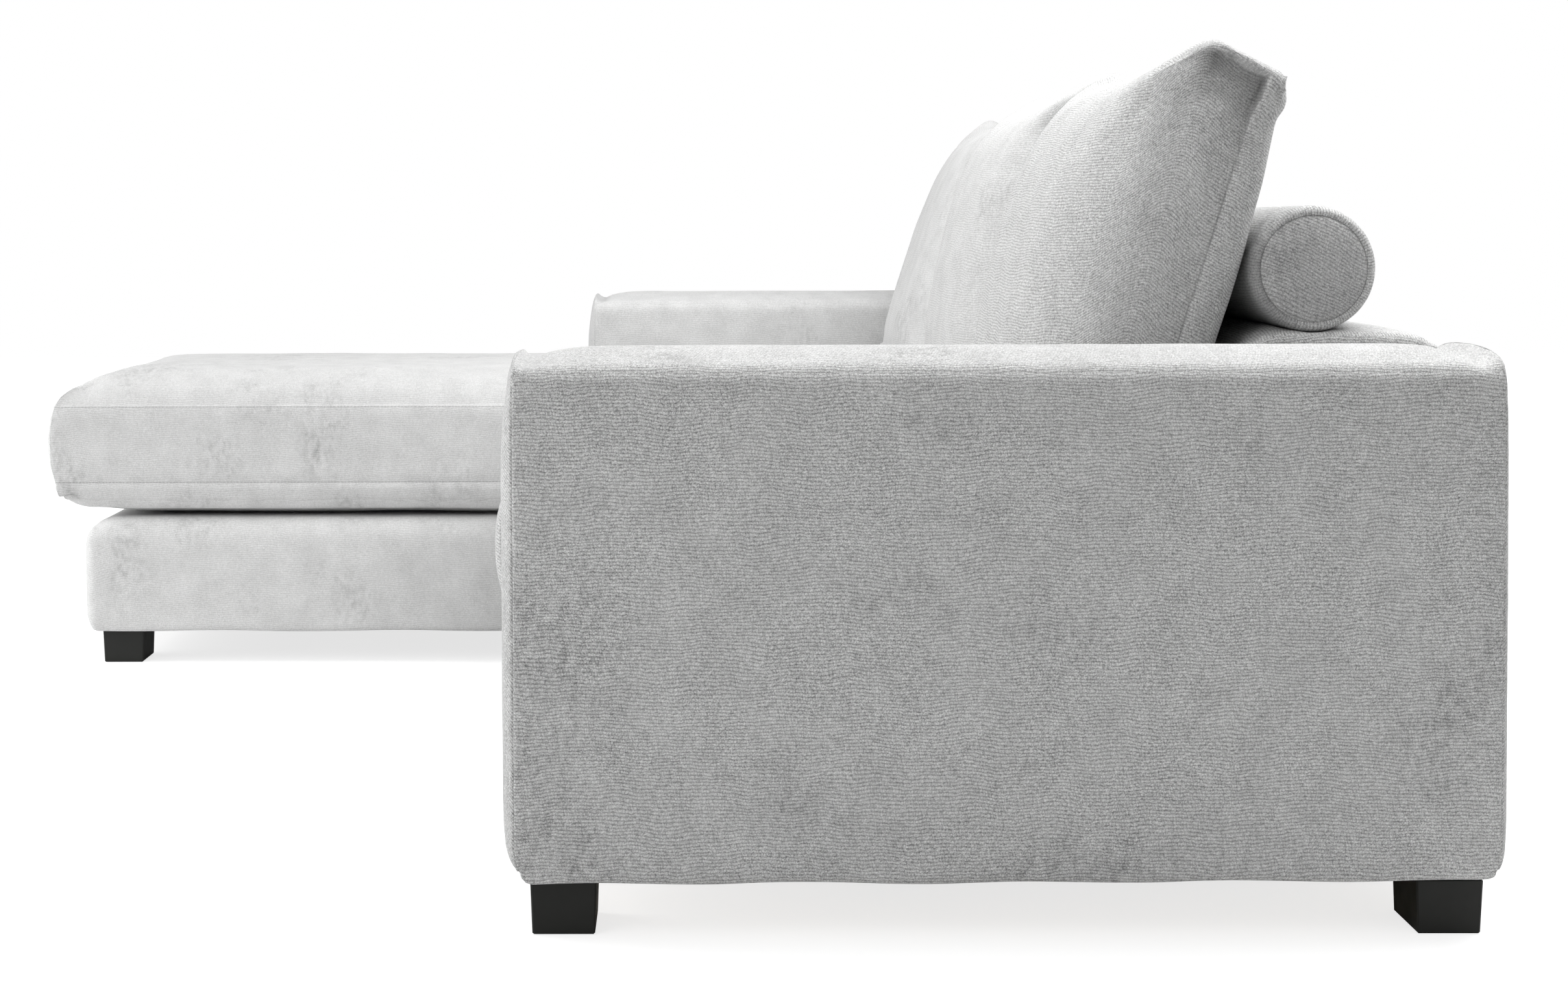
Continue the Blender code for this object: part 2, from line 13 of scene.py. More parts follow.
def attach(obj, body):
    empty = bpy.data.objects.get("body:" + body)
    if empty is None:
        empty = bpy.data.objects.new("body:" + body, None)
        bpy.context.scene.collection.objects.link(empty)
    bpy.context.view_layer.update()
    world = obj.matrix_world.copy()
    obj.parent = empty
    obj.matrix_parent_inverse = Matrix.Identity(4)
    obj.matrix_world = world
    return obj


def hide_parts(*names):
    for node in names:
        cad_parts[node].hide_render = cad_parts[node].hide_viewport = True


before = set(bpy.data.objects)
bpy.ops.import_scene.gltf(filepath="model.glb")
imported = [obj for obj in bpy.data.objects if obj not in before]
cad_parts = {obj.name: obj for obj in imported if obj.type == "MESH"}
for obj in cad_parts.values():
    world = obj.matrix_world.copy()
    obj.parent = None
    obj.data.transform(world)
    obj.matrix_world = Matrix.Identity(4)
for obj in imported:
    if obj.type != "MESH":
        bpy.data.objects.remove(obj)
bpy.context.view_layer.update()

bl_info = {
    "name": "Lounge Sofa with Chaise",
    "version": (1, 0, 0),
    "blender": (4, 5, 0),
    "location": "View3D > Sidebar > Sofa",
    "description": "Covers, cushions, finishes and stage of a lounge sofa with a chaise",
    "category": "Object",
}

# Grid lines of a cover: offsets beside a seam, and spacings near an edge and elsewhere
SEAM_STEPS = np.array((0.0, 0.0012, 0.0026, 0.0042, 0.0065))
EDGE_SPACING, OPEN_SPACING = 0.0055, 0.0125
# The radius of an edge that stays sharp, and the largest distance to a seam that is kept
SHARP, FAR_FROM_SEAM = 0.0001, 0.05

# Which way the ribs run on each side of a cover: the grid direction along a rib, then the one across the ribs
ALONG_THE_BACK = dict.fromkeys(("x-", "x+", "y-", "y+", "z-", "z+"), (0, 1))
OVER_THE_TOP = {**ALONG_THE_BACK, "z-": (1, 0), "z+": (1, 0)}
# The sides whose grid would turn their faces inward
TURNED_SIDES = ("x-", "y+", "z-")

# Places of the sofa's parts, as the frame has them
ARM_SPANS = {"near": (0.9002, 1.1200), "far": (-1.1200, -0.9002)}
ARM_SEAM_FRONT, ARM_SEAM_REAR = -0.0539, 0.8765
ARM_FOOT_Z, ARM_EDGE_Z = 0.0530, 0.5400
MODULES = {"main": (-0.2898, 0.8997), "chaise": (-0.8997, -0.2902)}
BASE_FRONTS = {"main": -0.0360, "chaise": -0.8225}
BASE_REAR, BASE_FOOT_Z, DECK_Z = 0.6660, 0.0546, 0.2266
BACK_FRONT, BACK_REAR, BACK_TOP_Z = 0.6668, 0.8900, 0.5625

# Each seat cushion's two sides, its front, and the depth of the round along its front foot
SEATS = {
    "near": (0.3065, 0.8985, -0.0815, 0.038),
    "middle": (-0.2885, 0.3035, -0.0815, 0.038),
    "chaise": (-0.8985, -0.2915, -0.8725, 0.060),
}
SEAT_REAR, SEAT_FLOOR_Z, SEAT_TOP_Z = 0.6655, 0.2274, 0.4490
SEAT_SEAMS_Z = (0.2820, 0.3990)

# Each back cushion's two ends, how full it is, and how far the front lies back at its foot and at its top
BACK_CUSHIONS = {
    "near": (0.3065, 0.8985, 0.45, 0.003, 0.001),
    "middle": (-0.2885, 0.3035, 0.55, 0.012, -0.010),
    "chaise": (-0.8985, -0.2915, 0.20, 0.000, 0.021),
}
CUSHION_DEPTH, CUSHION_HEIGHT = 0.194, 0.4050
CUSHION_FRONT, CUSHION_FLOOR_Z = 0.4385, 0.4577
# How far a back cushion lies back for each metre of its height
CUSHION_LEAN = 0.268
# The seam's distance from a back cushion's rear, the height of its ears' lip, and the place of its crest
REAR_SEAM, EAR_LIP, CREST = 0.030, 0.0130, 0.104

BOLSTERS = {"main": (-0.2885, 0.8985), "chaise": (-0.8985, -0.2915)}
BOLSTER_RADIUS, BOLSTER_Y, BOLSTER_Z = 0.0653, 0.7566, 0.6282

# How crisp the pile is on the pieces of each place, softer toward the far end
PILE = {"near": 1.0, "main": 1.0, "middle": 0.55, "far": 0.32, "chaise": 0.32}

# The cloth simulation: its pressure, its frames, and the furthest that it moves a point
FILLING_PRESSURE, FILLING_FRAMES, FILLING_REACH = 4.0, 20, 0.0040

# Each softbox's size, its place and the point that it faces
SOFTBOXES = {
    "overhead_softbox": ((1.4, 2.4), (0.42, 1.20, 2.20), (0.42, 0.60, 0.50)),
    "side_softbox": ((2.0, 1.4), (2.60, -1.70, 2.10), (0.90, 0.30, 0.30)),
    "front_softbox": ((1.6, 1.4), (-0.15, -3.20, 1.20), (0.10, 0.30, 0.60)),
}
# The floor's half width, how far it lies under the feet, and the distances between which it turns white
FLOOR_REACH, FLOOR_DROP, WHITE_FROM, WHITE_AT = 9.0, 0.0005, 1.5, 3.2
# The camera's place, the turns of its view in radians, and its shift in widths of the picture
CAMERA_PLACE = (3.2865, 0.1105, 0.6706)
CAMERA_YAW, CAMERA_PITCH, CAMERA_ROLL = -0.007, 0.045, -0.003
CAMERA_SHIFT = (0.0731, -0.0997)


def cut_lines(low, high, seams=(), fine=0.030):
    """Grid lines from low to high, closer together near both ends and beside each seam."""
    ends = np.linspace(0.0, fine, round(fine / EDGE_SPACING) + 1)
    open_cells = max(round((high - low - 2 * fine) / OPEN_SPACING), 1)
    middle = np.linspace(low + fine, high - fine, open_cells + 1)
    lines = np.concatenate([low + ends, middle, high - ends])
    for seam in seams:
        lines = lines[np.abs(lines - seam) > SEAM_STEPS[-1] + EDGE_SPACING / 3]
        beside = np.concatenate([seam - SEAM_STEPS, seam + SEAM_STEPS])
        lines = np.concatenate([lines, beside[(beside > low) & (beside < high)]])
    return np.unique(np.round(np.append(lines, (low, high)), 6))


class Cover:
    """A closed box whose six sides are grids. Rules move its points, and rest keeps their first places."""

    def __init__(self, x, y, z):
        cuts = (x, y, z)
        outer = np.zeros([len(c) for c in cuts], bool)
        outer[[0, -1]] = outer[:, [0, -1]] = outer[:, :, [0, -1]] = True
        where = np.argwhere(outer)
        index = np.zeros(outer.shape, int)
        index[outer] = np.arange(len(where))
        self.low = np.array([c[0] for c in cuts])
        self.high = np.array([c[-1] for c in cuts])
        self.rest = np.stack([cuts[axis][where[:, axis]] for axis in range(3)], axis=1)
        self.points = self.rest.copy()
        self.seam = np.full(len(where), FAR_FROM_SEAM)
        self.sides = {
            letter + sign: np.take(index, end, axis=axis)
            for axis, letter in enumerate("xyz")
            for sign, end in (("-", 0), ("+", -1))
        }

    def shares(self):
        """Each point's place in the box as shares from -1 to 1."""
        return (2 * self.rest - self.low - self.high) / (self.high - self.low)

    def on(self, side):
        """True for the points on one side of the box."""
        found = np.zeros(len(self.rest), bool)
        found[self.sides[side].ravel()] = True
        return found

    def round_edges(self, axes, radii):
        """Rounds the four edges along the third axis.

        With axes a and b, radii[a end][b end] holds an edge's radius along a and along b.
        """
        at = self.points[:, axes]
        radii = np.array(radii)
        low, high = self.low[list(axes)], self.high[list(axes)]
        low_reach = np.array((radii[0, :, 0].max(), radii[:, 0, 1].max()))
        high_reach = np.array((radii[1, :, 0].max(), radii[:, 1, 1].max()))
        above = at > low + (high - low) * low_reach / (low_reach + high_reach)
        radius = radii[above[:, 0].astype(int), above[:, 1].astype(int)]
        face, sign = np.where(above, high, low), np.where(above, 1.0, -1.0)
        beyond = np.clip(1.0 - (face - at) * sign / radius, 0.0, None)
        reach = np.maximum(np.hypot(beyond[:, 0], beyond[:, 1]), 1e-9)
        pulled = face - sign * radius + sign * radius * beyond * (beyond.max(axis=1) / reach)[:, None]
        self.points[:, axes] = np.where(beyond > 0.0, pulled, at)

    def round_block(self, sides, front, rear, corners=None):
        """Rounds the foot and top edges of the sides, the front and the rear, then the upright corners."""
        self.round_edges((0, 2), (sides, sides))
        self.round_edges((1, 2), (front, rear))
        if corners:
            self.round_edges((0, 1), (corners, corners))

    def relax(self, rounds, hold):
        """Draws points toward their neighbours' middle, as filling does. hold is 1 where a point stays."""
        pairs = [np.stack([grid[:-1].ravel(), grid[1:].ravel()]) for grid in self.sides.values()]
        pairs += [np.stack([grid[:, :-1].ravel(), grid[:, 1:].ravel()]) for grid in self.sides.values()]
        first, second = np.unique(np.sort(np.concatenate(pairs, axis=1), axis=0), axis=1)
        size = len(self.points)
        count = np.bincount(first, minlength=size) + np.bincount(second, minlength=size)

        def total(place):
            """Each point's sum over its neighbours of one coordinate."""
            return np.bincount(first, place[second], size) + np.bincount(second, place[first], size)

        for _ in range(rounds):
            middle = np.stack([total(place) for place in self.points.T], axis=1) / count[:, None]
            self.points += 0.5 * (1.0 - hold)[:, None] * (middle - self.points)

    def sew(self, *lines):
        """Keeps each point's distance to the nearest of these seams, runs of points in the uncut box."""
        for line in lines:
            for start, end in zip(line, line[1:]):
                start, along = np.array(start), np.subtract(end, start)
                share = np.clip((self.rest - start) @ along / (along @ along), 0.0, 1.0)
                gap = np.linalg.norm(self.rest - start - share[:, None] * along, axis=1)
                self.seam = np.minimum(self.seam, gap)

    def panel_border(self, side):
        """The seam round one whole side of the box."""
        axis, end = "xyz".index(side[0]), self.high if side[1] == "+" else self.low
        others = [a for a in range(3) if a != axis]
        corners = []
        for first, second in ((0, 0), (1, 0), (1, 1), (0, 1), (0, 0)):
            corner = [0.0, 0.0, 0.0]
            corner[axis] = end[axis]
            corner[others[0]] = (self.low, self.high)[first][others[0]]
            corner[others[1]] = (self.low, self.high)[second][others[1]]
            corners.append(corner)
        return corners

    def faces(self, side):
        """The four-sided faces of one side, turned outward."""
        grid = self.sides[side]
        corners = [grid[:-1, :-1], grid[1:, :-1], grid[1:, 1:], grid[:-1, 1:]]
        if side in TURNED_SIDES:
            corners.reverse()
        return np.stack(corners, axis=-1).reshape(-1, 4)

    def mesh(self, name, ribs):
        """The mesh, with the distances along and across the ribs, and each point's to the nearest seam."""
        faces, weave = [], []
        for side, (along, across) in ribs.items():
            grid = self.sides[side]
            lengths = np.zeros((len(self.points), 3))
            for column, axis in enumerate((along, across)):
                steps = np.linalg.norm(np.diff(self.points[grid], axis=axis), axis=2)
                gap = [(0, 0), (0, 0)]
                gap[axis] = (1, 0)
                run = np.cumsum(np.pad(steps, gap), axis=axis)
                lengths[grid, column] = run - np.take(run, [-1], axis=axis)
            faces.append(self.faces(side))
            weave.append(lengths[faces[-1]].reshape(-1, 3))
        data = bpy.data.meshes.new(name)
        data.from_pydata(self.points.tolist(), [], np.concatenate(faces).tolist())
        mark_weave(data, np.concatenate(weave))
        mark(data, "seam", self.seam)
        data.shade_smooth()
        return data


def normals_of(data):
    """Each point's normal."""
    normals = np.empty(len(data.vertices) * 3)
    data.vertices.foreach_get("normal", normals)
    return normals.reshape(-1, 3)


def points_of(data):
    """Each point's place."""
    points = np.empty(len(data.vertices) * 3)
    data.vertices.foreach_get("co", points)
    return points.reshape(-1, 3)


def move_points(data, points):
    """Puts the points of a mesh in new places."""
    data.vertices.foreach_set("co", np.asarray(points).ravel())
    data.update()


def smoothstep(value):
    """Eases from 0 to 1."""
    value = np.clip(value, 0.0, 1.0)
    return value * value * (3.0 - 2.0 * value)


def cloud(points, size, seed):
    """Smooth noise from -1 to 1 with lumps of about one size."""
    shift = Vector((seed * 7.13, seed * 3.71, seed * 5.39))
    return np.array([noise.noise(Vector(point) / size + shift) for point in points])


def hump(distance, width):
    """1 at distance 0, fading to nothing over about two widths."""
    return np.exp(-((distance / width) ** 2))


def tailor(data, seam, depth, seed, welt=0.0, swell=0.0012):
    """Sinks the seams, gathers small puckers beside them, and gives the panels a soft unevenness."""
    points, normals = points_of(data), normals_of(data)
    groove = depth * hump(seam, 0.0019) + 0.45 * depth * hump(seam, 0.010)
    ridge = welt * (hump(seam, 0.0022) - 0.9 * hump(seam - 0.0042, 0.0014))
    pucker_height, pucker_size = 0.0007, 0.011
    pucker = pucker_height * cloud(points, pucker_size, seed) * hump(seam, 0.013) * (seam > 0.0005)
    broad, small = cloud(points, 0.16, seed + 1), cloud(points, 0.055, seed + 2)
    uneven = swell * (broad + 0.4 * small) * smoothstep(seam / 0.035)
    move_points(data, points + normals * (ridge - groove + pucker + uneven)[:, None])


def mark(data, name, values):
    """Writes one number for each point, which the chenille reads."""
    layer = data.attributes.new(name, "FLOAT", "POINT")
    values = np.broadcast_to(values, len(data.vertices))
    layer.data.foreach_set("value", np.ascontiguousarray(values, dtype=np.float32))


def mark_weave(data, distances):
    """Writes each face corner's distances along and across the ribs, which the chenille reads."""
    layer = data.attributes.new("weave", "FLOAT_VECTOR", "CORNER")
    layer.data.foreach_set("vector", np.array(distances).ravel())


def link(context, name, data, body, node):
    """Puts one soft piece in the scene, on its body and in place of its frame node."""
    piece = bpy.data.objects.new(name, data)
    context.scene.collection.objects.link(piece)
    data.materials.append(fabric(context))
    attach(piece, body)
    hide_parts(node)
    return piece


def arm_cover(low_x, high_x, settings):
    """One box arm: cloth up, over and down, and two full end panels whose top seams stand proud."""
    cover = Cover(
        cut_lines(low_x, high_x, (low_x, high_x)),
        cut_lines(ARM_SEAM_FRONT, ARM_SEAM_REAR, (ARM_SEAM_FRONT, ARM_SEAM_REAR)),
        cut_lines(ARM_FOOT_Z, ARM_EDGE_Z, (ARM_EDGE_Z,)),
    )
    cover.sew(cover.panel_border("y-"), cover.panel_border("y+"))
    cover.round_block(
        sides=((0.006, 0.006), (0.015, 0.016)),
        front=((0.017, 0.036), (SHARP, SHARP)),
        rear=((0.010, 0.024), (SHARP, SHARP)),
    )
    a, b, c = cover.shares().T
    points = cover.points
    upper = smoothstep((cover.rest[:, 2] - ARM_EDGE_Z + 0.040) / 0.040)
    to_front, to_rear = cover.rest[:, 1] - ARM_SEAM_FRONT, ARM_SEAM_REAR - cover.rest[:, 1]
    # The crowned top falls toward both end seams
    crown_height, front_fall, rear_fall = 0.0170, 0.0105, 0.0100
    crown = (1.0 - a * a) * upper
    points[:, 2] += crown_height * crown
    points[:, 2] -= crown * (front_fall * hump(to_front, 0.040) + rear_fall * hump(to_rear, 0.034))
    # An arched lip stands along each end seam, with a valley behind it
    rear_lip, front_valley, rear_valley = 1.45, 0.0030, 0.0050
    arch = (1.0 - np.abs(a) ** 5) * upper
    points[:, 2] += arch * settings.lip_height * hump(to_front, 0.0065)
    points[:, 2] += arch * settings.lip_height * rear_lip * hump(to_rear, 0.0090)
    valleys = front_valley * hump(to_front - 0.018, 0.007) + rear_valley * hump(to_rear - 0.021, 0.008)
    points[:, 2] -= arch * valleys
    # The end panels swell, most at mid width and mid height
    full = (1.0 - np.clip(c, 0.0, 1.0) ** 8) * (1.0 - np.clip(-c, 0.0, 1.0) ** 14)
    front_swell = (0.35 * (1 - a**12) + 0.65 * (1 - a * a)) * full
    rear_swell = (0.8 - 0.2 * c) * (0.7 * (1 - a**8) + 0.3 * (1 - a * a)) * full
    points[:, 1] -= settings.panel_bulge * front_swell * cover.on("y-")
    points[:, 1] += settings.panel_bulge * rear_swell * cover.on("y+")
    # The lower edge rises a little toward the rear, and waves
    rise, wave, waves = 0.0016, 0.0009, 31.0
    hem = 1.0 - smoothstep((cover.rest[:, 2] - ARM_FOOT_Z) / 0.050)
    points[:, 2] += hem * (rise + rise * b + wave * np.sin(cover.rest[:, 1] * waves + low_x))
    return cover


def base_cover(low_x, high_x, front_y):
    """One base: cloth pulled down over the rails, softly rounded along its top front edge."""
    cover = Cover(cut_lines(low_x, high_x), cut_lines(front_y, BASE_REAR), cut_lines(BASE_FOOT_Z, DECK_Z))
    cover.round_block(
        sides=((0.004, 0.005), (0.030, 0.040)),
        front=((0.018, 0.026), (0.046, 0.044)),
        rear=((0.004, 0.004), (0.010, 0.010)),
        corners=((0.022, 0.022), (0.004, 0.004)),
    )
    a, _, c = cover.shares().T
    front_swell = 0.0032
    cover.points[:, 1] -= front_swell * (1 - a**6) * (1 - c * c) * cover.on("y-")
    # The lower edge hangs a little under the rails at the front and the sides, and waves
    hang, wave, waves = 0.0040, 0.0008, 23.0
    from_side = np.minimum(cover.rest[:, 0] - low_x, high_x - cover.rest[:, 0])
    inward = np.minimum(from_side, cover.rest[:, 1] - front_y)
    near_foot = 1.0 - smoothstep((cover.rest[:, 2] - BASE_FOOT_Z) / 0.040)
    hem = near_foot * (1.0 - smoothstep((inward - 0.006) / 0.006))
    cover.points[:, 2] -= hem * (hang + wave * np.sin(cover.rest[:, 1] * waves))
    return cover


def back_cover(low_x, high_x):
    """One upholstered back: a low padded wall whose crown gives way under the bolster."""
    cover = Cover(
        cut_lines(low_x, high_x),
        cut_lines(BACK_FRONT, BACK_REAR, fine=0.060),
        cut_lines(BASE_FOOT_Z, BACK_TOP_Z),
    )
    cover.round_block(
        sides=((0.004, 0.004), (0.010, 0.010)),
        front=((0.004, 0.004), (0.062, 0.056)),
        rear=((0.010, 0.020), (0.040, 0.026)),
    )
    a, b, c = cover.shares().T
    points = cover.points
    upper = smoothstep((cover.rest[:, 2] - BACK_TOP_Z + 0.045) / 0.045)
    crown_height, rear_fall, rear_swell = 0.0085, 0.004, 0.0035
    points[:, 2] += upper * (crown_height * (1 - b * b) * (1 - a**12) - rear_fall * np.clip(b, 0, 1) ** 2)
    # The cloth gives way round the bolster, a hair clear of it
    hair = 0.0006
    reach = np.abs(points[:, 1] - BOLSTER_Y)
    under = BOLSTER_Z - np.sqrt(np.clip((BOLSTER_RADIUS + hair) ** 2 - reach**2, 0.0, None))
    dented = (reach < BOLSTER_RADIUS) & (points[:, 2] > under)
    points[dented, 2] = under[dented]
    points[:, 1] += rear_swell * cover.on("y+") * (1 - c * c)
    return cover


def seat_cover(low_x, high_x, front_y, foot, settings):
    """One boxed seat cushion: a crowned top, a band between two seams, and a bottom that tucks under."""
    bottom_seam, top_seam = SEAT_SEAMS_Z
    cover = Cover(
        cut_lines(low_x, high_x, (low_x, high_x)),
        cut_lines(front_y, SEAT_REAR, (front_y,)),
        cut_lines(SEAT_FLOOR_Z, SEAT_TOP_Z, SEAT_SEAMS_Z),
    )
    for height in SEAT_SEAMS_Z:
        cover.sew([(low_x, front_y, height), (high_x, front_y, height), (high_x, SEAT_REAR, height),
                   (low_x, SEAT_REAR, height), (low_x, front_y, height)])
    for x in (low_x, high_x):
        cover.sew([(x, front_y, bottom_seam), (x, front_y, top_seam)])
    cover.round_block(
        sides=((0.018, 0.030), (0.062, 0.043)),
        front=((foot, 0.042), (0.096, 0.048)),
        rear=((0.020, 0.030), (0.030, 0.030)),
        corners=((0.004, 0.004), (0.010, 0.010)),
    )
    a = cover.shares()[:, 0]
    points, behind = cover.points, cover.rest[:, 1] - front_y
    upper = smoothstep((cover.rest[:, 2] - top_seam) / 0.045)
    points[:, 2] += upper * settings.seat_crown * (1 - a * a) * smoothstep(behind / 0.16)
    # The two seams draw the front in. from_middle is -1 at the lower seam and 1 at the upper one
    drawn_above, drawn_below = 0.0065, 0.0070
    above_middle = cover.rest[:, 2] - (bottom_seam + top_seam) / 2
    from_middle = above_middle / (top_seam - bottom_seam) * 2
    drawn = np.where(from_middle > 0.0, drawn_above, drawn_below) * np.clip(from_middle**2, 0.0, 1.0)
    points[:, 1] += drawn * (1.0 - smoothstep(behind / 0.12))
    # The bottom panel lifts off the base toward the front and the sides
    lift = 0.0140
    from_side = np.minimum(cover.rest[:, 0] - low_x, high_x - cover.rest[:, 0])
    inward = np.minimum(from_side, behind - 0.070)
    lower = 1.0 - smoothstep((cover.rest[:, 2] - SEAT_FLOOR_Z) / 0.040)
    points[:, 2] += lift * lower * (1.0 - smoothstep(inward / 0.080))
    # The front band bulges between the seams, across the whole front and more at its middle
    whole_bulge, middle_bulge = 0.0092, 0.0120
    across_front = 1 - np.abs(a) ** 24
    bulge = whole_bulge * across_front + middle_bulge * (1 - a * a)
    bulge *= 1.0 - 0.75 * np.clip(np.abs(from_middle), 0.0, 1.0) ** 3
    points[:, 1] -= bulge * np.where(cover.on("y-"), 1.0, (1.0 - smoothstep(behind / 0.05)) * across_front)
    # The sides pull in above and below the band
    side_pull = 0.0030
    band = np.clip(1 - (above_middle / 0.080) ** 2, 0.0, 1.0)
    points[:, 0] -= a * side_pull * (1 - band) * (1 - upper)
    return cover


def back_cushion_cover(low_x, high_x, fullness, foot_back, top_back, settings):
    """One back cushion: cloth that rolls over the top and round both ends to a seam near its rear edge."""
    width, depth, height = high_x - low_x, CUSHION_DEPTH, CUSHION_HEIGHT
    seam_y, lip_z, ear_y = depth - REAR_SEAM, height - EAR_LIP, 0.112
    cover = Cover(
        cut_lines(0.0, width),
        cut_lines(0.0, depth, (seam_y,), fine=0.040),
        cut_lines(0.0, height, (lip_z,), fine=0.060),
    )
    for x in (0.0, width):
        cover.sew([(x, seam_y, 0.0), (x, seam_y, lip_z), (x, ear_y, lip_z)])
    end = np.abs(cover.shares()[:, 0])
    side = np.sign(cover.shares()[:, 0])
    corners, ends = ((0.120, 0.146), (0.026, 0.032)), ((0.020, 0.030), (0.008, 0.010))
    front, rear = ((0.032, 0.042), (0.108, 0.150)), ((0.018, 0.018), (0.024, 0.032))
    cover.round_edges((0, 1), (corners, corners))
    cover.round_edges((1, 2), (front, rear))
    cover.round_edges((0, 2), (ends, ends))
    # Relaxing rounds the box like filled cloth. The foot stays, the rear mostly stays, and so do the ears
    rounds, rear_stay = 90, 0.85
    at_end = np.minimum(cover.rest[:, 0], width - cover.rest[:, 0])
    rear_hold = smoothstep((cover.rest[:, 1] - 0.105) / 0.040)
    ear_hold = (1.0 - smoothstep(at_end / 0.035)) * smoothstep((cover.rest[:, 2] - height + 0.060) / 0.040)
    cover.relax(rounds, np.maximum(rear_hold * np.maximum(ear_hold, rear_stay), cover.on("z-")))
    x, y, z = cover.points.T.copy()
    rise = z / height
    front_part = np.clip(1.0 - y / depth, 0.0, 1.0)
    middle_height = np.clip(1.0 - (2 * rise - 0.95) ** 2, 0.0, 1.0)
    plump = fullness * settings.cushion_fullness * (1 - end**2.4) * middle_height
    y += (foot_back + (top_back - foot_back) * rise - plump) * front_part
    rear_swell, end_pull = 0.0095, 0.0085
    y += rear_swell * (1 - end**10) * (1 - front_part) * middle_height
    x -= side * end_pull * end**3 * (1 - middle_height) * smoothstep((0.92 - rise) / 0.2)
    # The top falls off behind its crest, and its two ears stand up from the crest
    fall, turn, ear_height, dip = 0.42, 0.008, 0.0185, 0.003
    upper = smoothstep((rise - 0.75) / 0.22)
    z -= fall * turn * np.logaddexp(0.0, (y - CREST) / turn) * upper
    z += (ear_height * hump(at_end, 0.080) * hump(y - CREST, 0.032) - dip * (1 - end**2)) * upper
    y += 0.0070 * smoothstep((rise - 0.80) / 0.14) * smoothstep((y - 0.110) / 0.070)
    # Below its ear the seam at each end slants forward on its way down
    ear_foot, slant, ramp_start = 0.359, 0.046, 0.060
    beside = np.where(cover.rest[:, 1] < seam_y, (cover.rest[:, 1] - ramp_start) / (seam_y - ramp_start),
                      (depth - cover.rest[:, 1]) / (depth - seam_y))
    forward = slant * np.clip(ear_foot - z, 0.0, None) * smoothstep(beside)
    y -= forward * (1.0 - smoothstep((at_end - 0.030) / 0.050))
    cover.points[:, 0] = low_x + x
    cover.points[:, 1] = CUSHION_FRONT + y + CUSHION_LEAN * z
    cover.points[:, 2] = CUSHION_FLOOR_Z + z
    return cover


def fill(piece, cover):
    """Fills slack cloth by pressure. Seams, bottom and rear stay, and no point moves past a short reach."""
    scene, data = bpy.context.scene, piece.data
    resting = cover.on("z-") | cover.on("y+")
    slack = 0.85 * FILLING_REACH * smoothstep(cover.seam / 0.030) * ~resting
    before = points_of(data) - normals_of(data) * slack[:, None]
    move_points(data, before)
    held = piece.vertex_groups.new(name="sewn_or_resting")
    for index in np.flatnonzero((cover.seam < 0.0010) | resting):
        held.add([int(index)], 1.0, "REPLACE")
    cloth = piece.modifiers.new("filling", "CLOTH")
    cloth.settings.quality = 5
    cloth.settings.use_pressure = True
    cloth.settings.uniform_pressure_force = FILLING_PRESSURE
    cloth.settings.effector_weights.gravity = 0.0
    cloth.settings.vertex_group_mass = held.name
    cloth.point_cache.frame_end = FILLING_FRAMES
    for step in range(1, FILLING_FRAMES + 1):
        scene.frame_set(step)
    graph = bpy.context.evaluated_depsgraph_get()
    blown = piece.evaluated_get(graph)
    after = points_of(blown.to_mesh())
    blown.to_mesh_clear()
    piece.modifiers.remove(cloth)
    piece.vertex_groups.remove(held)
    scene.frame_set(1)
    shift = after - before
    length = np.maximum(np.linalg.norm(shift, axis=1), 1e-9)
    capped = FILLING_REACH * np.tanh(length / FILLING_REACH)
    move_points(data, before + shift * (capped / length)[:, None])


def fold_ears(data, cover):
    """Tucks a back cushion's ends under a lip of the top's cloth, which runs back and then down the seam, and
    paints shade on the ends and in the folds.
    """
    points, rest, low, high = points_of(data), cover.rest, cover.low, cover.high
    below = high[2] - EAR_LIP - rest[:, 2]
    ahead = high[1] - REAR_SEAM - rest[:, 1]
    back = rest[:, 1] - low[1]
    at_end = np.minimum(rest[:, 0] - low[0], high[0] - rest[:, 0])
    outward = np.sign(rest[:, 0] - (low[0] + high[0]) / 2)
    near_end = 1.0 - smoothstep(at_end / 0.026)
    run = smoothstep((back - 0.078) / 0.030)
    # The tuck is deepest just inside the lip, and a second, fainter crease lies below it
    tuck_depth, crease_depth, crease_below, lip_height = 0.0190, 0.0048, 0.034, 0.0042
    inside = np.where((below > 0.0) & (ahead > 0.0), np.minimum(below, ahead + 0.25 * below), 0.0)
    tuck = tuck_depth * smoothstep(inside / 0.0024) * (1.0 - smoothstep((inside - 0.005) / 0.036))
    tuck *= hump(below, 0.075)
    crease = crease_depth * hump(below - crease_below, 0.0065) * smoothstep(ahead / 0.030)
    lip = lip_height * hump(below, 0.010) * (below <= 0.0)
    points[:, 0] += outward * near_end * run * (lip - tuck - crease)
    move_points(data, points)
    # Painted shade: each end face darkens toward its rear, and the tuck under the lip and the crease below it
    # darken as their shadow, through the mark that the chenille reads
    end_shade, crease_shade = 0.26, 0.5
    end_face = end_shade * near_end * smoothstep((back - 0.010) / 0.070) * smoothstep((ahead + 0.004) / 0.008)
    painted_fold_shade = near_end * run * (tuck / tuck_depth + crease_shade * crease / crease_depth)
    mark(data, "painted_shade", np.maximum(end_face, painted_fold_shade))


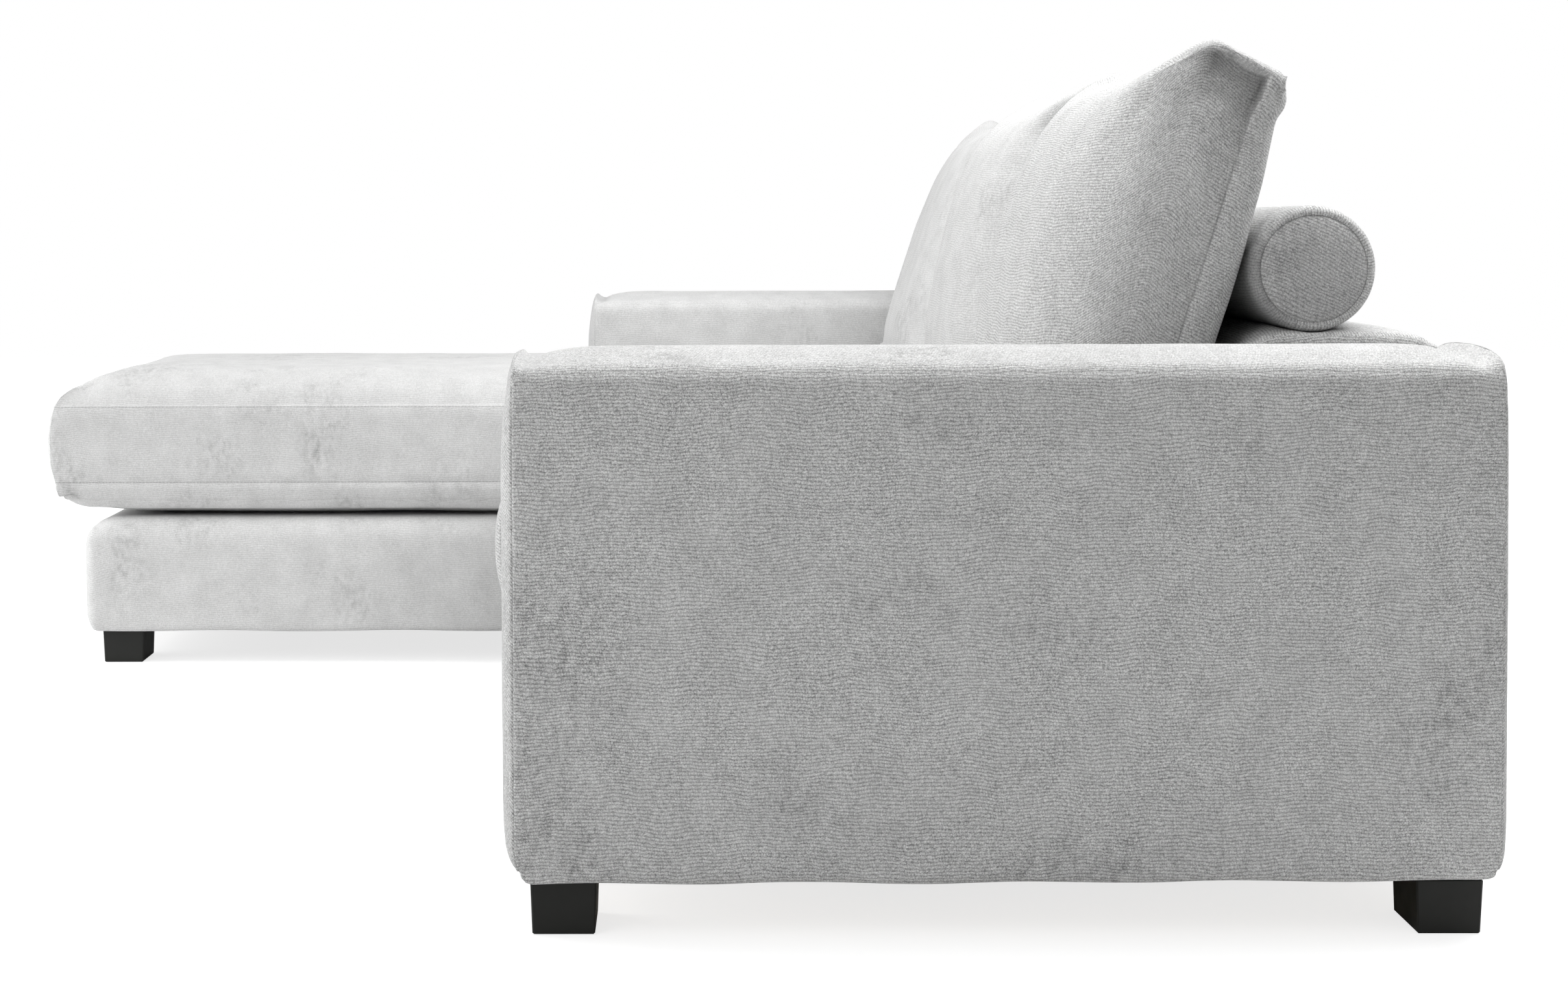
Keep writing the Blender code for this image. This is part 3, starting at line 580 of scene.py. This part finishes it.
def bolster_mesh(name, low_x, high_x):
    """A turned bolster: ribs along its length, a soft rim over each end, and a domed disc set in by a seam.

    Returns its mesh, each point's distance to a seam, and how much painted shade each point gets.
    """
    around, rim, disc, seam_drop, disc_slant = 120, 0.0100, 0.0550, -0.0026, 0.45
    end_profile = [
        (0.0, 0.0085), (0.012, 0.0083), (0.024, 0.0076), (0.034, 0.0064), (0.043, 0.0047), (0.049, 0.0030),
        (0.0525, 0.0012), (disc - 0.0010, -0.0004), (disc, seam_drop), (disc + 0.0010, -0.0006),
        (0.0580, 0.0006), (0.0605, -0.0006), (0.0628, -0.0030), (0.0643, -0.0064), (0.0651, -0.0105),
        (BOLSTER_RADIUS, -0.0160),
    ]
    start, finish = low_x + rim, high_x - rim
    rings_between = max(round((finish - start) / 0.014), 2)
    body_steps = np.linspace(start + 0.016, finish - 0.016, rings_between)[1:-1]
    stations = [(r, start - d) for r, d in end_profile] + [(BOLSTER_RADIUS, x) for x in body_steps]
    stations += [(r, finish + d) for r, d in reversed(end_profile)]
    radii = np.array([r for r, _ in stations])
    xs = np.array([x for _, x in stations])
    angles = np.linspace(0.0, 2 * math.pi, around, endpoint=False)
    points = [(xs[0], BOLSTER_Y, BOLSTER_Z)]
    points += [(x, BOLSTER_Y + r * math.cos(t), BOLSTER_Z + r * math.sin(t))
               for r, x in zip(radii[1:-1], xs[1:-1]) for t in angles]
    points.append((xs[-1], BOLSTER_Y, BOLSTER_Z))
    final = len(stations) - 1
    run = np.concatenate([[0.0], np.cumsum(np.hypot(np.diff(radii), np.diff(xs)))])

    def number(station, step):
        """The point at one ring and step round it."""
        if station == 0:
            return 0
        return len(points) - 1 if station == final else 1 + (station - 1) * around + step % around

    def corner(station, step):
        """The point and the weave distances at one ring and step round it."""
        angle = 2 * math.pi * step / around
        return number(station, step), (run[station], BOLSTER_RADIUS * angle, 0.0)

    def disc_corner(station, step):
        """The same on a disc, whose cloth is cut flat and lies at a slant."""
        angle = 2 * math.pi * step / around + disc_slant
        x, y = radii[station] * math.cos(angle), radii[station] * math.sin(angle)
        return number(station, step), (x, y, 0.0)

    seam_station = end_profile.index((disc, seam_drop))
    faces, weave = [], []
    for station in range(final):
        on_end = station < seam_station or station >= final - seam_station
        pick = disc_corner if on_end else corner
        for step in range(around):
            ring = [pick(station, step), pick(station + 1, step),
                    pick(station + 1, step + 1), pick(station, step + 1)]
            if station == 0:
                ring = ring[:3]
            elif station == final - 1:
                ring = [ring[0], ring[1], ring[3]]
            faces.append([place for place, _ in ring])
            weave.extend(value for _, value in ring)
    data = bpy.data.meshes.new(name)
    data.from_pydata(points, [], faces)
    ring_gap = np.minimum(np.abs(run - run[seam_station]), np.abs(run - run[-1 - seam_station]))
    seam = np.concatenate([[FAR_FROM_SEAM], np.repeat(ring_gap[1:-1], around), [FAR_FROM_SEAM]])
    seam = np.minimum(seam, FAR_FROM_SEAM)
    mark_weave(data, weave)
    mark(data, "seam", seam)
    data.shade_smooth()
    outward = (points_of(data) - (0.0, BOLSTER_Y, BOLSTER_Z)) / BOLSTER_RADIUS
    # Painted shade: the end discs are darkened, and so is the body's side that faces down toward the
    # cushions, where their shadow falls
    disc_shade = 0.42
    on_disc = 1.0 - smoothstep((np.hypot(outward[:, 1], outward[:, 2]) - 0.80) / 0.06)
    toward_cushions = smoothstep((-outward[:, 1] - 0.35 * outward[:, 2] - 0.35) / 0.55)
    return data, seam, np.maximum(disc_shade * on_disc, toward_cushions * (1.0 - on_disc))


class Wire:
    """An output in a material's node tree. Arithmetic on it adds Math nodes, and add makes any other node."""

    def __init__(self, tree, output=None):
        self.tree, self.output = tree, output

    def add(self, kind, settings=None, values=None, output=0):
        """One node, its settings first and then its sockets' values or wires. Returns one of its outputs."""
        made = self.tree.nodes.new(kind)
        for name, value in (settings or {}).items():
            setattr(made, name, value)
        for socket, value in (values or {}).items():
            if isinstance(value, Wire):
                self.tree.links.new(value.output, made.inputs[socket])
            else:
                made.inputs[socket].default_value = value
        return Wire(self.tree, made.outputs[output]) if len(made.outputs) else None

    def beside(self, output):
        """Another output of the same node."""
        return Wire(self.tree, self.output.node.outputs[output])

    def math(self, operation, first, second=0.0):
        """One Math node."""
        return self.add("ShaderNodeMath", {"operation": operation}, {0: first, 1: second})

    def ramp(self, low, high):
        """Eases from 0 to 1 as this goes from low to high."""
        settings = {"interpolation_type": "SMOOTHSTEP"}
        return self.add("ShaderNodeMapRange", settings, {0: self, 1: low, 2: high})

    def wave(self):
        """Half a sine for each whole number, 0 at its ends and 1 between them."""
        return self.math("SINE", self.math("FRACT", self) * math.pi)

    def __add__(self, other):
        return self.math("ADD", self, other)

    def __sub__(self, other):
        return self.math("SUBTRACT", self, other)

    def __rsub__(self, other):
        return self.math("SUBTRACT", other, self)

    def __mul__(self, other):
        return self.math("MULTIPLY", self, other)

    def __truediv__(self, other):
        return self.math("DIVIDE", self, other)

    def __pow__(self, other):
        return self.math("POWER", self, other)

    __radd__ = __add__
    __rmul__ = __mul__


def new_material(name):
    """An empty node material, a wire to start it with, and the wire of its object coordinates."""
    made = bpy.data.materials.new(name)
    made.use_nodes = True
    made.node_tree.nodes.clear()
    wire = Wire(made.node_tree)
    return made, wire, wire.add("ShaderNodeTexCoord", output="Object")


def surface(wire, values):
    """Closes a material with one Principled shader."""
    shader = wire.add("ShaderNodeBsdfPrincipled", None, values)
    wire.add("ShaderNodeOutputMaterial", None, {"Surface": shader})


def grain(wire, place, size, detail=2.0, scales=(1.0, 1.0, 1.0)):
    """Noise over the object's own coordinates, stretched by three scales."""
    stretched = wire.add("ShaderNodeVectorMath", {"operation": "MULTIPLY"}, {0: place, 1: scales})
    return wire.add("ShaderNodeTexNoise", None, {"Vector": stretched, "Scale": size, "Detail": detail})


def blend_colours(wire, share, dark, light):
    """A colour between two."""
    colours = {0: share, 6: (*dark, 1.0), 7: (*light, 1.0)}
    return wire.add("ShaderNodeMix", {"data_type": "RGBA"}, colours, output=2)


def relief(wire, strength, distance, height):
    """A bumped normal."""
    return wire.add("ShaderNodeBump", None, {"Strength": strength, "Distance": distance, "Height": height})


def chenille(name, settings):
    """Ribbed chenille: wandering ribs of soft loops, darker where brushed or sewn, and darker still where
    painted shade is marked.
    """
    made, wire, place = new_material(name)
    weave = wire.add("ShaderNodeAttribute", {"attribute_name": "weave"}, output="Vector")
    seam, pile, painted_shade = (wire.add("ShaderNodeAttribute", {"attribute_name": mark_name}, output="Fac")
                           for mark_name in ("seam", "pile", "painted_shade"))
    along = wire.add("ShaderNodeSeparateXYZ", None, {0: weave})
    across = along.beside(1)

    # The ribs wander slowly and tremble, and the loops slip a little along them
    wander, tremble, slip, brick = 0.0160, 0.0028, 0.0050, 0.22
    slow, quick = grain(wire, place, 14.0), grain(wire, place, 230.0)
    across = across + (slow - 0.5) * wander + (quick - 0.5) * tremble
    along = along + (quick - 0.5) * slip
    rows = across / settings.rib_pitch
    rib = rows.wave()
    loop = (along / settings.loop_length + wire.math("FLOOR", rows) * brick).wave()
    fuzz, nap = grain(wire, place, 1300.0), grain(wire, place, 330.0)
    height = (rib ** 0.75) * (0.36 + 0.26 * loop) + 2.30 * (fuzz - 0.5) + 0.60 * (nap - 0.5)

    # The colour follows the height, then a broad mottle, the marks of brushing and stitches, and the painted
    # shade of folds, cushion ends and the bolsters' discs and undersides
    mean_height, mean_shade, crease_shade, stitch_length = 0.37, 0.525, 0.55, 0.0052
    fleck = grain(wire, place, 110.0, 6.0, (1.0, 1.0, 0.6))
    patch = grain(wire, place, 7.5, 6.0, (1.0, 1.0, 0.8))
    mottle = grain(wire, place, 26.0, 6.0)
    brushed = fleck.ramp(0.36, 0.76) * patch.ramp(0.52, 0.70)
    shade = mean_shade + pile * (0.84 * (height - mean_height) + 0.30 * (nap - 0.5)) + 0.26 * (mottle - 0.5)
    # Painted shade: the mark darkens the cloth in folds, on cushion ends and on the bolsters' discs and
    # undersides
    shade = (shade - settings.brush_marks * brushed) * (1.0 - crease_shade * painted_shade)
    stitch = (along / stitch_length).wave()
    line = 1.0 - seam.ramp(0.0002, 0.0016)
    shade = shade * (1.0 - line * (0.20 + 0.35 * stitch))
    colour = blend_colours(wire, shade, settings.fabric_shadow, settings.fabric_colour)
    bump = relief(wire, 1.0, settings.rib_height, height * pile)
    surface(wire, {"Base Color": colour, "Normal": bump, "Roughness": 0.92, "Specular IOR Level": 0.15,
                   "Sheen Weight": 0.18, "Sheen Roughness": 0.55})
    return made


def timber(name):
    """Planed pine: long grain along the rails and darker summer rings."""
    made, wire, place = new_material(name)
    rings = grain(wire, place, 1.0, 4.0, (60.0, 2.2, 60.0))
    pores = grain(wire, place, 1.0, 2.0, (500.0, 25.0, 500.0))
    band = (rings * 9.0).wave()
    colour = blend_colours(wire, 0.75 * band + 0.25 * pores, (0.44, 0.28, 0.14), (0.70, 0.52, 0.32))
    bump = relief(wire, 0.25, 0.0004, band + 0.5 * pores)
    surface(wire, {"Base Color": colour, "Normal": bump, "Roughness": 0.55 + 0.2 * pores})
    return made


def plywood(name):
    """Birch plywood: pale faces with fine flecks and broad, faint clouds."""
    made, wire, place = new_material(name)
    flecks = grain(wire, place, 1.0, 3.0, (160.0, 160.0, 12.0))
    broad = grain(wire, place, 1.0, 3.0, (14.0, 14.0, 2.0))
    colour = blend_colours(wire, 0.5 * flecks + 0.5 * broad, (0.56, 0.41, 0.25), (0.80, 0.66, 0.46))
    bump = relief(wire, 0.2, 0.0003, flecks)
    surface(wire, {"Base Color": colour, "Normal": bump, "Roughness": 0.60 + 0.15 * flecks})
    return made


def metal(name, dark, light, roughness, scale):
    """Drawn wire or plated steel with faint mottling."""
    made, wire, place = new_material(name)
    mottle = grain(wire, place, scale, 4.0)
    colour = blend_colours(wire, mottle, dark, light)
    bump = relief(wire, 0.15, 0.0002, mottle)
    surface(wire, {"Base Color": colour, "Normal": bump, "Metallic": 1.0,
                   "Roughness": roughness + 0.25 * mottle})
    return made


def dust_cloth(name):
    """Black spun-bonded cloth with its pattern of welded points."""
    made, wire, place = new_material(name)
    x = wire.add("ShaderNodeSeparateXYZ", None, {0: place})
    y, pitch = x.beside(1), 0.0030
    dots = ((x + y) / pitch).wave() * ((x - y) / pitch).wave()
    fibres = grain(wire, place, 600.0, 3.0)
    colour = blend_colours(wire, 0.4 * dots + 0.6 * fibres, (0.010, 0.010, 0.011), (0.040, 0.040, 0.042))
    bump = relief(wire, 0.5, 0.0003, fibres + dots)
    surface(wire, {"Base Color": colour, "Normal": bump, "Roughness": 0.85 + 0.1 * fibres})
    return made


def foot_finish(name, settings):
    """Black stained block with a faint upright grain and a low sheen."""
    made, wire, place = new_material(name)
    fibres = grain(wire, place, 1.0, 3.0, (420.0, 60.0, 40.0))
    haze = grain(wire, place, 45.0, 3.0)
    dark, light = ([share * level for level in settings.foot_colour] for share in (0.7, 1.3))
    colour = blend_colours(wire, 0.6 * fibres + 0.4 * haze, dark, light)
    bump = relief(wire, 0.2, 0.0003, fibres)
    surface(wire, {"Base Color": colour, "Normal": bump, "Roughness": 0.46 + 0.18 * haze,
                   "Specular IOR Level": 0.35})
    return made


def fabric(context):
    """The sofa's one chenille, made at its first use."""
    name = "light_grey_ribbed_chenille"
    return bpy.data.materials.get(name) or chenille(name, context.scene.sofa_cloth)


def dress(context, name, cover, ribs, body, node, seed, depth=0.0030, welt=0.0, swell=0.0012):
    """Makes one covered piece from its rules and puts it in place of its frame node."""
    data = cover.mesh(name, ribs)
    tailor(data, cover.seam, depth, seed, welt, swell)
    mark(data, "pile", PILE[name.split("_")[0]])
    return link(context, name, data, body, node)


class SofaClothSettings(bpy.types.PropertyGroup):
    """Cloth and upholstery of the sofa."""

    fabric_colour: bpy.props.FloatVectorProperty(
        name="Fabric", description="Colour of the loops that stand up to the light", subtype="COLOR", size=3,
        min=0.0, max=1.0, default=(0.94, 0.94, 0.935))
    fabric_shadow: bpy.props.FloatVectorProperty(
        name="Fabric Shadow", description="Colour between the ribs", subtype="COLOR", size=3,
        min=0.0, max=1.0, default=(0.20, 0.20, 0.20))
    rib_pitch: bpy.props.FloatProperty(
        name="Rib Pitch", description="Distance from one rib to the next", subtype="DISTANCE", unit="LENGTH",
        min=0.001, max=0.02, default=0.0033)
    rib_height: bpy.props.FloatProperty(
        name="Rib Height", description="How far the ribs stand up", subtype="DISTANCE", unit="LENGTH",
        min=0.0, max=0.01, default=0.0004)
    loop_length: bpy.props.FloatProperty(
        name="Loop Length", description="Length of one loop along a rib", subtype="DISTANCE", unit="LENGTH",
        min=0.001, max=0.02, default=0.0029)
    brush_marks: bpy.props.FloatProperty(
        name="Brush Marks", description="How dark the brushed patches of pile are", subtype="FACTOR",
        min=0.0, max=1.0, default=0.22)
    panel_bulge: bpy.props.FloatProperty(
        name="Panel Bulge", description="How far an arm's end panels swell", subtype="DISTANCE",
        unit="LENGTH", min=0.0, max=0.03, default=0.0155)
    lip_height: bpy.props.FloatProperty(
        name="Seam Lip", description="How far the seams on top of an arm stand up", subtype="DISTANCE",
        unit="LENGTH", min=0.0, max=0.03, default=0.0085)
    seat_crown: bpy.props.FloatProperty(
        name="Seat Crown", description="Rise of a seat cushion's middle over its sides", subtype="DISTANCE",
        unit="LENGTH", min=0.0, max=0.05, default=0.0090)
    cushion_fullness: bpy.props.FloatProperty(
        name="Cushion Fullness", description="How far a back cushion's front swells", subtype="DISTANCE",
        unit="LENGTH", min=0.0, max=0.08, default=0.024)


class SofaFinishSettings(bpy.types.PropertyGroup):
    """Feet and hidden frame of the sofa."""

    foot_colour: bpy.props.FloatVectorProperty(
        name="Feet", description="Colour of the block feet", subtype="COLOR", size=3, min=0.0, max=1.0,
        default=(0.0058, 0.0062, 0.0047))


class SofaStageSettings(bpy.types.PropertyGroup):
    """Light, floor and camera of the studio."""

    softbox_power: bpy.props.FloatProperty(
        name="Softbox", description="Power of the overhead softbox in watts", subtype="POWER", unit="POWER",
        min=0.0, max=1000.0, default=66.0)
    front_power: bpy.props.FloatProperty(
        name="Front Softbox", description="Power in watts of the softbox that faces the seats",
        subtype="POWER", unit="POWER", min=0.0, max=1000.0, default=74.0)
    side_power: bpy.props.FloatProperty(
        name="Side Softbox", description="Power in watts of the softbox high on the camera's side",
        subtype="POWER", unit="POWER", min=0.0, max=1000.0, default=25.0)
    room_light: bpy.props.FloatProperty(
        name="Room Light", description="Strength of the even light from above", subtype="FACTOR",
        min=0.0, max=1.0, default=0.44)
    floor_colour: bpy.props.FloatVectorProperty(
        name="Floor", description="Colour of the studio floor", subtype="COLOR", size=3, min=0.0, max=1.0,
        default=(0.86, 0.86, 0.86))
    lens: bpy.props.FloatProperty(
        name="Lens", description="Focal length of the camera in millimetres", subtype="DISTANCE_CAMERA",
        min=10.0, max=200.0, default=53.46)


class SOFA_OT_arms(bpy.types.Operator):
    """Upholster both box arms"""

    bl_idname = "sofa.arms"
    bl_label = "Arms"

    def execute(self, context):
        for seed, (side, span) in enumerate(ARM_SPANS.items()):
            cover = arm_cover(*span, context.scene.sofa_cloth)
            dress(context, side + "_arm_upholstery", cover, OVER_THE_TOP, "sofa_frame", side + "_arm_cover",
                  seed * 3 + 1, swell=0.0008)
        return {"FINISHED"}


class SOFA_OT_bases(bpy.types.Operator):
    """Upholster the bases of the main seat and the chaise"""

    bl_idname = "sofa.bases"
    bl_label = "Bases"

    def execute(self, context):
        for seed, (module, span) in enumerate(MODULES.items()):
            cover = base_cover(*span, BASE_FRONTS[module])
            dress(context, module + "_base_upholstery", cover, OVER_THE_TOP, "sofa_frame",
                  module + "_base_cover", seed * 3 + 11, swell=0.0007)
        return {"FINISHED"}


class SOFA_OT_backs(bpy.types.Operator):
    """Upholster the low backs behind the cushions"""

    bl_idname = "sofa.backs"
    bl_label = "Backs"

    def execute(self, context):
        for seed, (module, span) in enumerate(MODULES.items()):
            dress(context, module + "_back_upholstery", back_cover(*span), ALONG_THE_BACK, "sofa_frame",
                  module + "_back_cover", seed * 3 + 21, swell=0.0007)
        return {"FINISHED"}


class SOFA_OT_seat_cushions(bpy.types.Operator):
    """Sew and fill the three seat cushions"""

    bl_idname = "sofa.seat_cushions"
    bl_label = "Seat Cushions"

    def execute(self, context):
        for seed, (place, span) in enumerate(SEATS.items()):
            node = place + "_seat_cushion"
            cover = seat_cover(*span, context.scene.sofa_cloth)
            piece = dress(context, place + "_seat_pad", cover, OVER_THE_TOP, node, node,
                          seed * 3 + 31, depth=0.0006, welt=0.0007, swell=0.0022)
            fill(piece, cover)
        return {"FINISHED"}


class SOFA_OT_back_cushions(bpy.types.Operator):
    """Sew and fill the three back cushions"""

    bl_idname = "sofa.back_cushions"
    bl_label = "Back Cushions"

    def execute(self, context):
        for seed, (place, span) in enumerate(BACK_CUSHIONS.items()):
            node = place + "_back_cushion"
            cover = back_cushion_cover(*span, context.scene.sofa_cloth)
            piece = dress(context, place + "_back_pad", cover, ALONG_THE_BACK, node, node,
                          seed * 3 + 41, depth=0.0026, swell=0.0030)
            fill(piece, cover)
            fold_ears(piece.data, cover)
        return {"FINISHED"}


class SOFA_OT_bolsters(bpy.types.Operator):
    """Sew and fill the two bolsters on the backs"""

    bl_idname = "sofa.bolsters"
    bl_label = "Bolsters"

    def execute(self, context):
        for seed, (place, span) in enumerate(BOLSTERS.items()):
            node, name = place + "_bolster", place + "_bolster_pad"
            data, seam, shaded = bolster_mesh(name, *span)
            tailor(data, seam, 0.0010, seed * 3 + 51, swell=0.0009)
            mark(data, "pile", PILE[place])
            # The bolster's painted shade, on its end discs and on its side toward the cushions
            mark(data, "painted_shade", shaded)
            link(context, name, data, node, node)
        return {"FINISHED"}


class SOFA_OT_feet_and_frame(bpy.types.Operator):
    """Finish the feet, and the timber, plywood, springs, plates and dust covers of the hidden frame"""

    bl_idname = "sofa.feet_and_frame"
    bl_label = "Feet and Frame"

    def execute(self, context):
        plate = metal("zinc_plated_steel", (0.42, 0.43, 0.45), (0.66, 0.67, 0.69), 0.28, 160.0)
        spring = metal("drawn_spring_wire", (0.16, 0.16, 0.17), (0.36, 0.36, 0.38), 0.32, 240.0)
        finishes = {
            "foot": ("foot_black", foot_finish("satin_black_foot", context.scene.sofa_finish)),
            "plate": ("plate_steel", plate),
            "dust_cover": ("dust_cloth", dust_cloth("spun_black_dust_cloth")),
            "board": ("plywood", plywood("birch_plywood_board")),
            "rail": ("timber", timber("planed_pine")),
        }
        for name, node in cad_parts.items():
            if node.hide_render:
                continue
            ending = next((end for end in finishes if name.endswith(end)), None)
            slot, look = finishes[ending] if ending else ("spring_steel", spring)
            for place in node.material_slots:
                place.material = look
        return {"FINISHED"}


class SOFA_OT_stage(bpy.types.Operator):
    """Set the pale floor, the soft light and the camera"""

    bl_idname = "sofa.stage"
    bl_label = "Stage"

    def execute(self, context):
        settings = context.scene.sofa_stage
        self.add_floor(context, settings.floor_colour)
        self.add_room(context, settings.room_light)
        powers = (settings.softbox_power, settings.side_power, settings.front_power)
        for power, (name, (size, place, aim)) in zip(powers, SOFTBOXES.items()):
            light = bpy.data.lights.new(name, "AREA")
            light.shape = "RECTANGLE"
            light.size, light.size_y = size
            light.energy = power
            softbox = bpy.data.objects.new(name, light)
            context.scene.collection.objects.link(softbox)
            softbox.location = place
            softbox.rotation_euler = (Vector(aim) - softbox.location).to_track_quat("-Z", "Y").to_euler()
        self.add_camera(context, settings.lens)
        context.scene.view_settings.view_transform = "Standard"
        return {"FINISHED"}

    def add_floor(self, context, colour):
        """A pale floor. The camera sees half its own colour and a glow that turns white some way off."""
        look, wire, place = new_material("studio_floor")
        seen = wire.add("ShaderNodeLightPath", output="Is Camera Ray")
        dimmed = [0.5 * level for level in colour]
        pale = wire.add("ShaderNodeBsdfDiffuse", None, {"Color": blend_colours(wire, seen, colour, dimmed)})
        distance = wire.add("ShaderNodeVectorMath", {"operation": "LENGTH"}, {0: place}, output="Value")
        white = blend_colours(wire, distance.ramp(WHITE_FROM, WHITE_AT), (0.76, 0.76, 0.76), (1.0, 1.0, 1.0))
        glow = wire.add("ShaderNodeEmission", None, {"Color": white, "Strength": seen})
        mixed = wire.add("ShaderNodeAddShader", None, {0: pale, 1: glow})
        wire.add("ShaderNodeOutputMaterial", None, {"Surface": mixed})
        data = bpy.data.meshes.new("studio_floor")
        corners = [(x * FLOOR_REACH, y * FLOOR_REACH, 0.0) for x, y in ((-1, -1), (1, -1), (1, 1), (-1, 1))]
        data.from_pydata(corners, [], [(0, 1, 2, 3)])
        data.materials.append(look)
        floor = bpy.data.objects.new("studio_floor", data)
        context.scene.collection.objects.link(floor)
        floor.location.z = -FLOOR_DROP

    def add_room(self, context, strength):
        """Even light that fades toward the horizon, and a white background where the camera sees it."""
        world = bpy.data.worlds.new("studio_room")
        world.use_nodes = True
        world.node_tree.nodes.clear()
        wire = Wire(world.node_tree)
        path = wire.add("ShaderNodeLightPath", output="Is Camera Ray")
        others = [path.beside(name) for name in ("Is Glossy Ray", "Is Transmission Ray")]
        bright = wire.math("MAXIMUM", path, wire.math("MAXIMUM", *others))
        facing = wire.add("ShaderNodeTexCoord", output="Generated")
        height = wire.add("ShaderNodeSeparateXYZ", None, {0: facing}, output="Z").ramp(0.0, 0.75)
        level = strength * (0.10 + 0.90 * height)
        white = blend_colours(wire, wire.math("MAXIMUM", bright, level), (0.0, 0.0, 0.0), (1.0, 1.0, 1.0))
        room = wire.add("ShaderNodeBackground", None, {"Color": white})
        wire.add("ShaderNodeOutputWorld", None, {"Surface": room})
        context.scene.world = world

    def add_camera(self, context, lens):
        """The camera at the near end, turned and shifted as the photograph was taken."""
        data = bpy.data.cameras.new("side_camera")
        data.lens = lens
        data.sensor_width = 36.0
        data.sensor_fit = "HORIZONTAL"
        data.shift_x, data.shift_y = CAMERA_SHIFT
        camera = bpy.data.objects.new("side_camera", data)
        context.scene.collection.objects.link(camera)
        level = math.cos(CAMERA_PITCH)
        ahead = Vector((-math.cos(CAMERA_YAW) * level, math.sin(CAMERA_YAW) * level, -math.sin(CAMERA_PITCH)))
        right = ahead.cross(Vector((0.0, 0.0, 1.0))).normalized()
        turned = Matrix((right, right.cross(ahead), -ahead)).transposed()
        turned = turned @ Matrix.Rotation(CAMERA_ROLL, 3, "Z")
        camera.matrix_world = Matrix.Translation(CAMERA_PLACE) @ turned.to_4x4()
        context.scene.camera = camera


OPERATORS = (SOFA_OT_arms, SOFA_OT_bases, SOFA_OT_backs, SOFA_OT_seat_cushions, SOFA_OT_back_cushions,
             SOFA_OT_bolsters, SOFA_OT_feet_and_frame, SOFA_OT_stage)


class VIEW3D_PT_sofa(bpy.types.Panel):
    """Lists the sofa's settings and the steps that make it"""

    bl_label = "Lounge Sofa"
    bl_space_type = "VIEW_3D"
    bl_region_type = "UI"
    bl_category = "Sofa"

    def draw(self, context):
        for group in (context.scene.sofa_cloth, context.scene.sofa_finish, context.scene.sofa_stage):
            column = self.layout.column(align=True)
            for name in group.__annotations__:
                column.prop(group, name)
        for operator in OPERATORS:
            self.layout.operator(operator.bl_idname)


SETTINGS = {
    "sofa_cloth": SofaClothSettings,
    "sofa_finish": SofaFinishSettings,
    "sofa_stage": SofaStageSettings,
}


def register():
    for made in (*SETTINGS.values(), *OPERATORS, VIEW3D_PT_sofa):
        bpy.utils.register_class(made)
    for name, group in SETTINGS.items():
        setattr(bpy.types.Scene, name, bpy.props.PointerProperty(type=group))


def unregister():
    for name in SETTINGS:
        delattr(bpy.types.Scene, name)
    for made in (VIEW3D_PT_sofa, *reversed(OPERATORS), *SETTINGS.values()):
        bpy.utils.unregister_class(made)


def main():
    register()
    bpy.ops.sofa.arms()
    bpy.ops.sofa.bases()
    bpy.ops.sofa.backs()
    bpy.ops.sofa.seat_cushions()
    bpy.ops.sofa.back_cushions()
    bpy.ops.sofa.bolsters()
    bpy.ops.sofa.feet_and_frame()
    bpy.ops.sofa.stage()


if __name__ == "__main__":
    main()
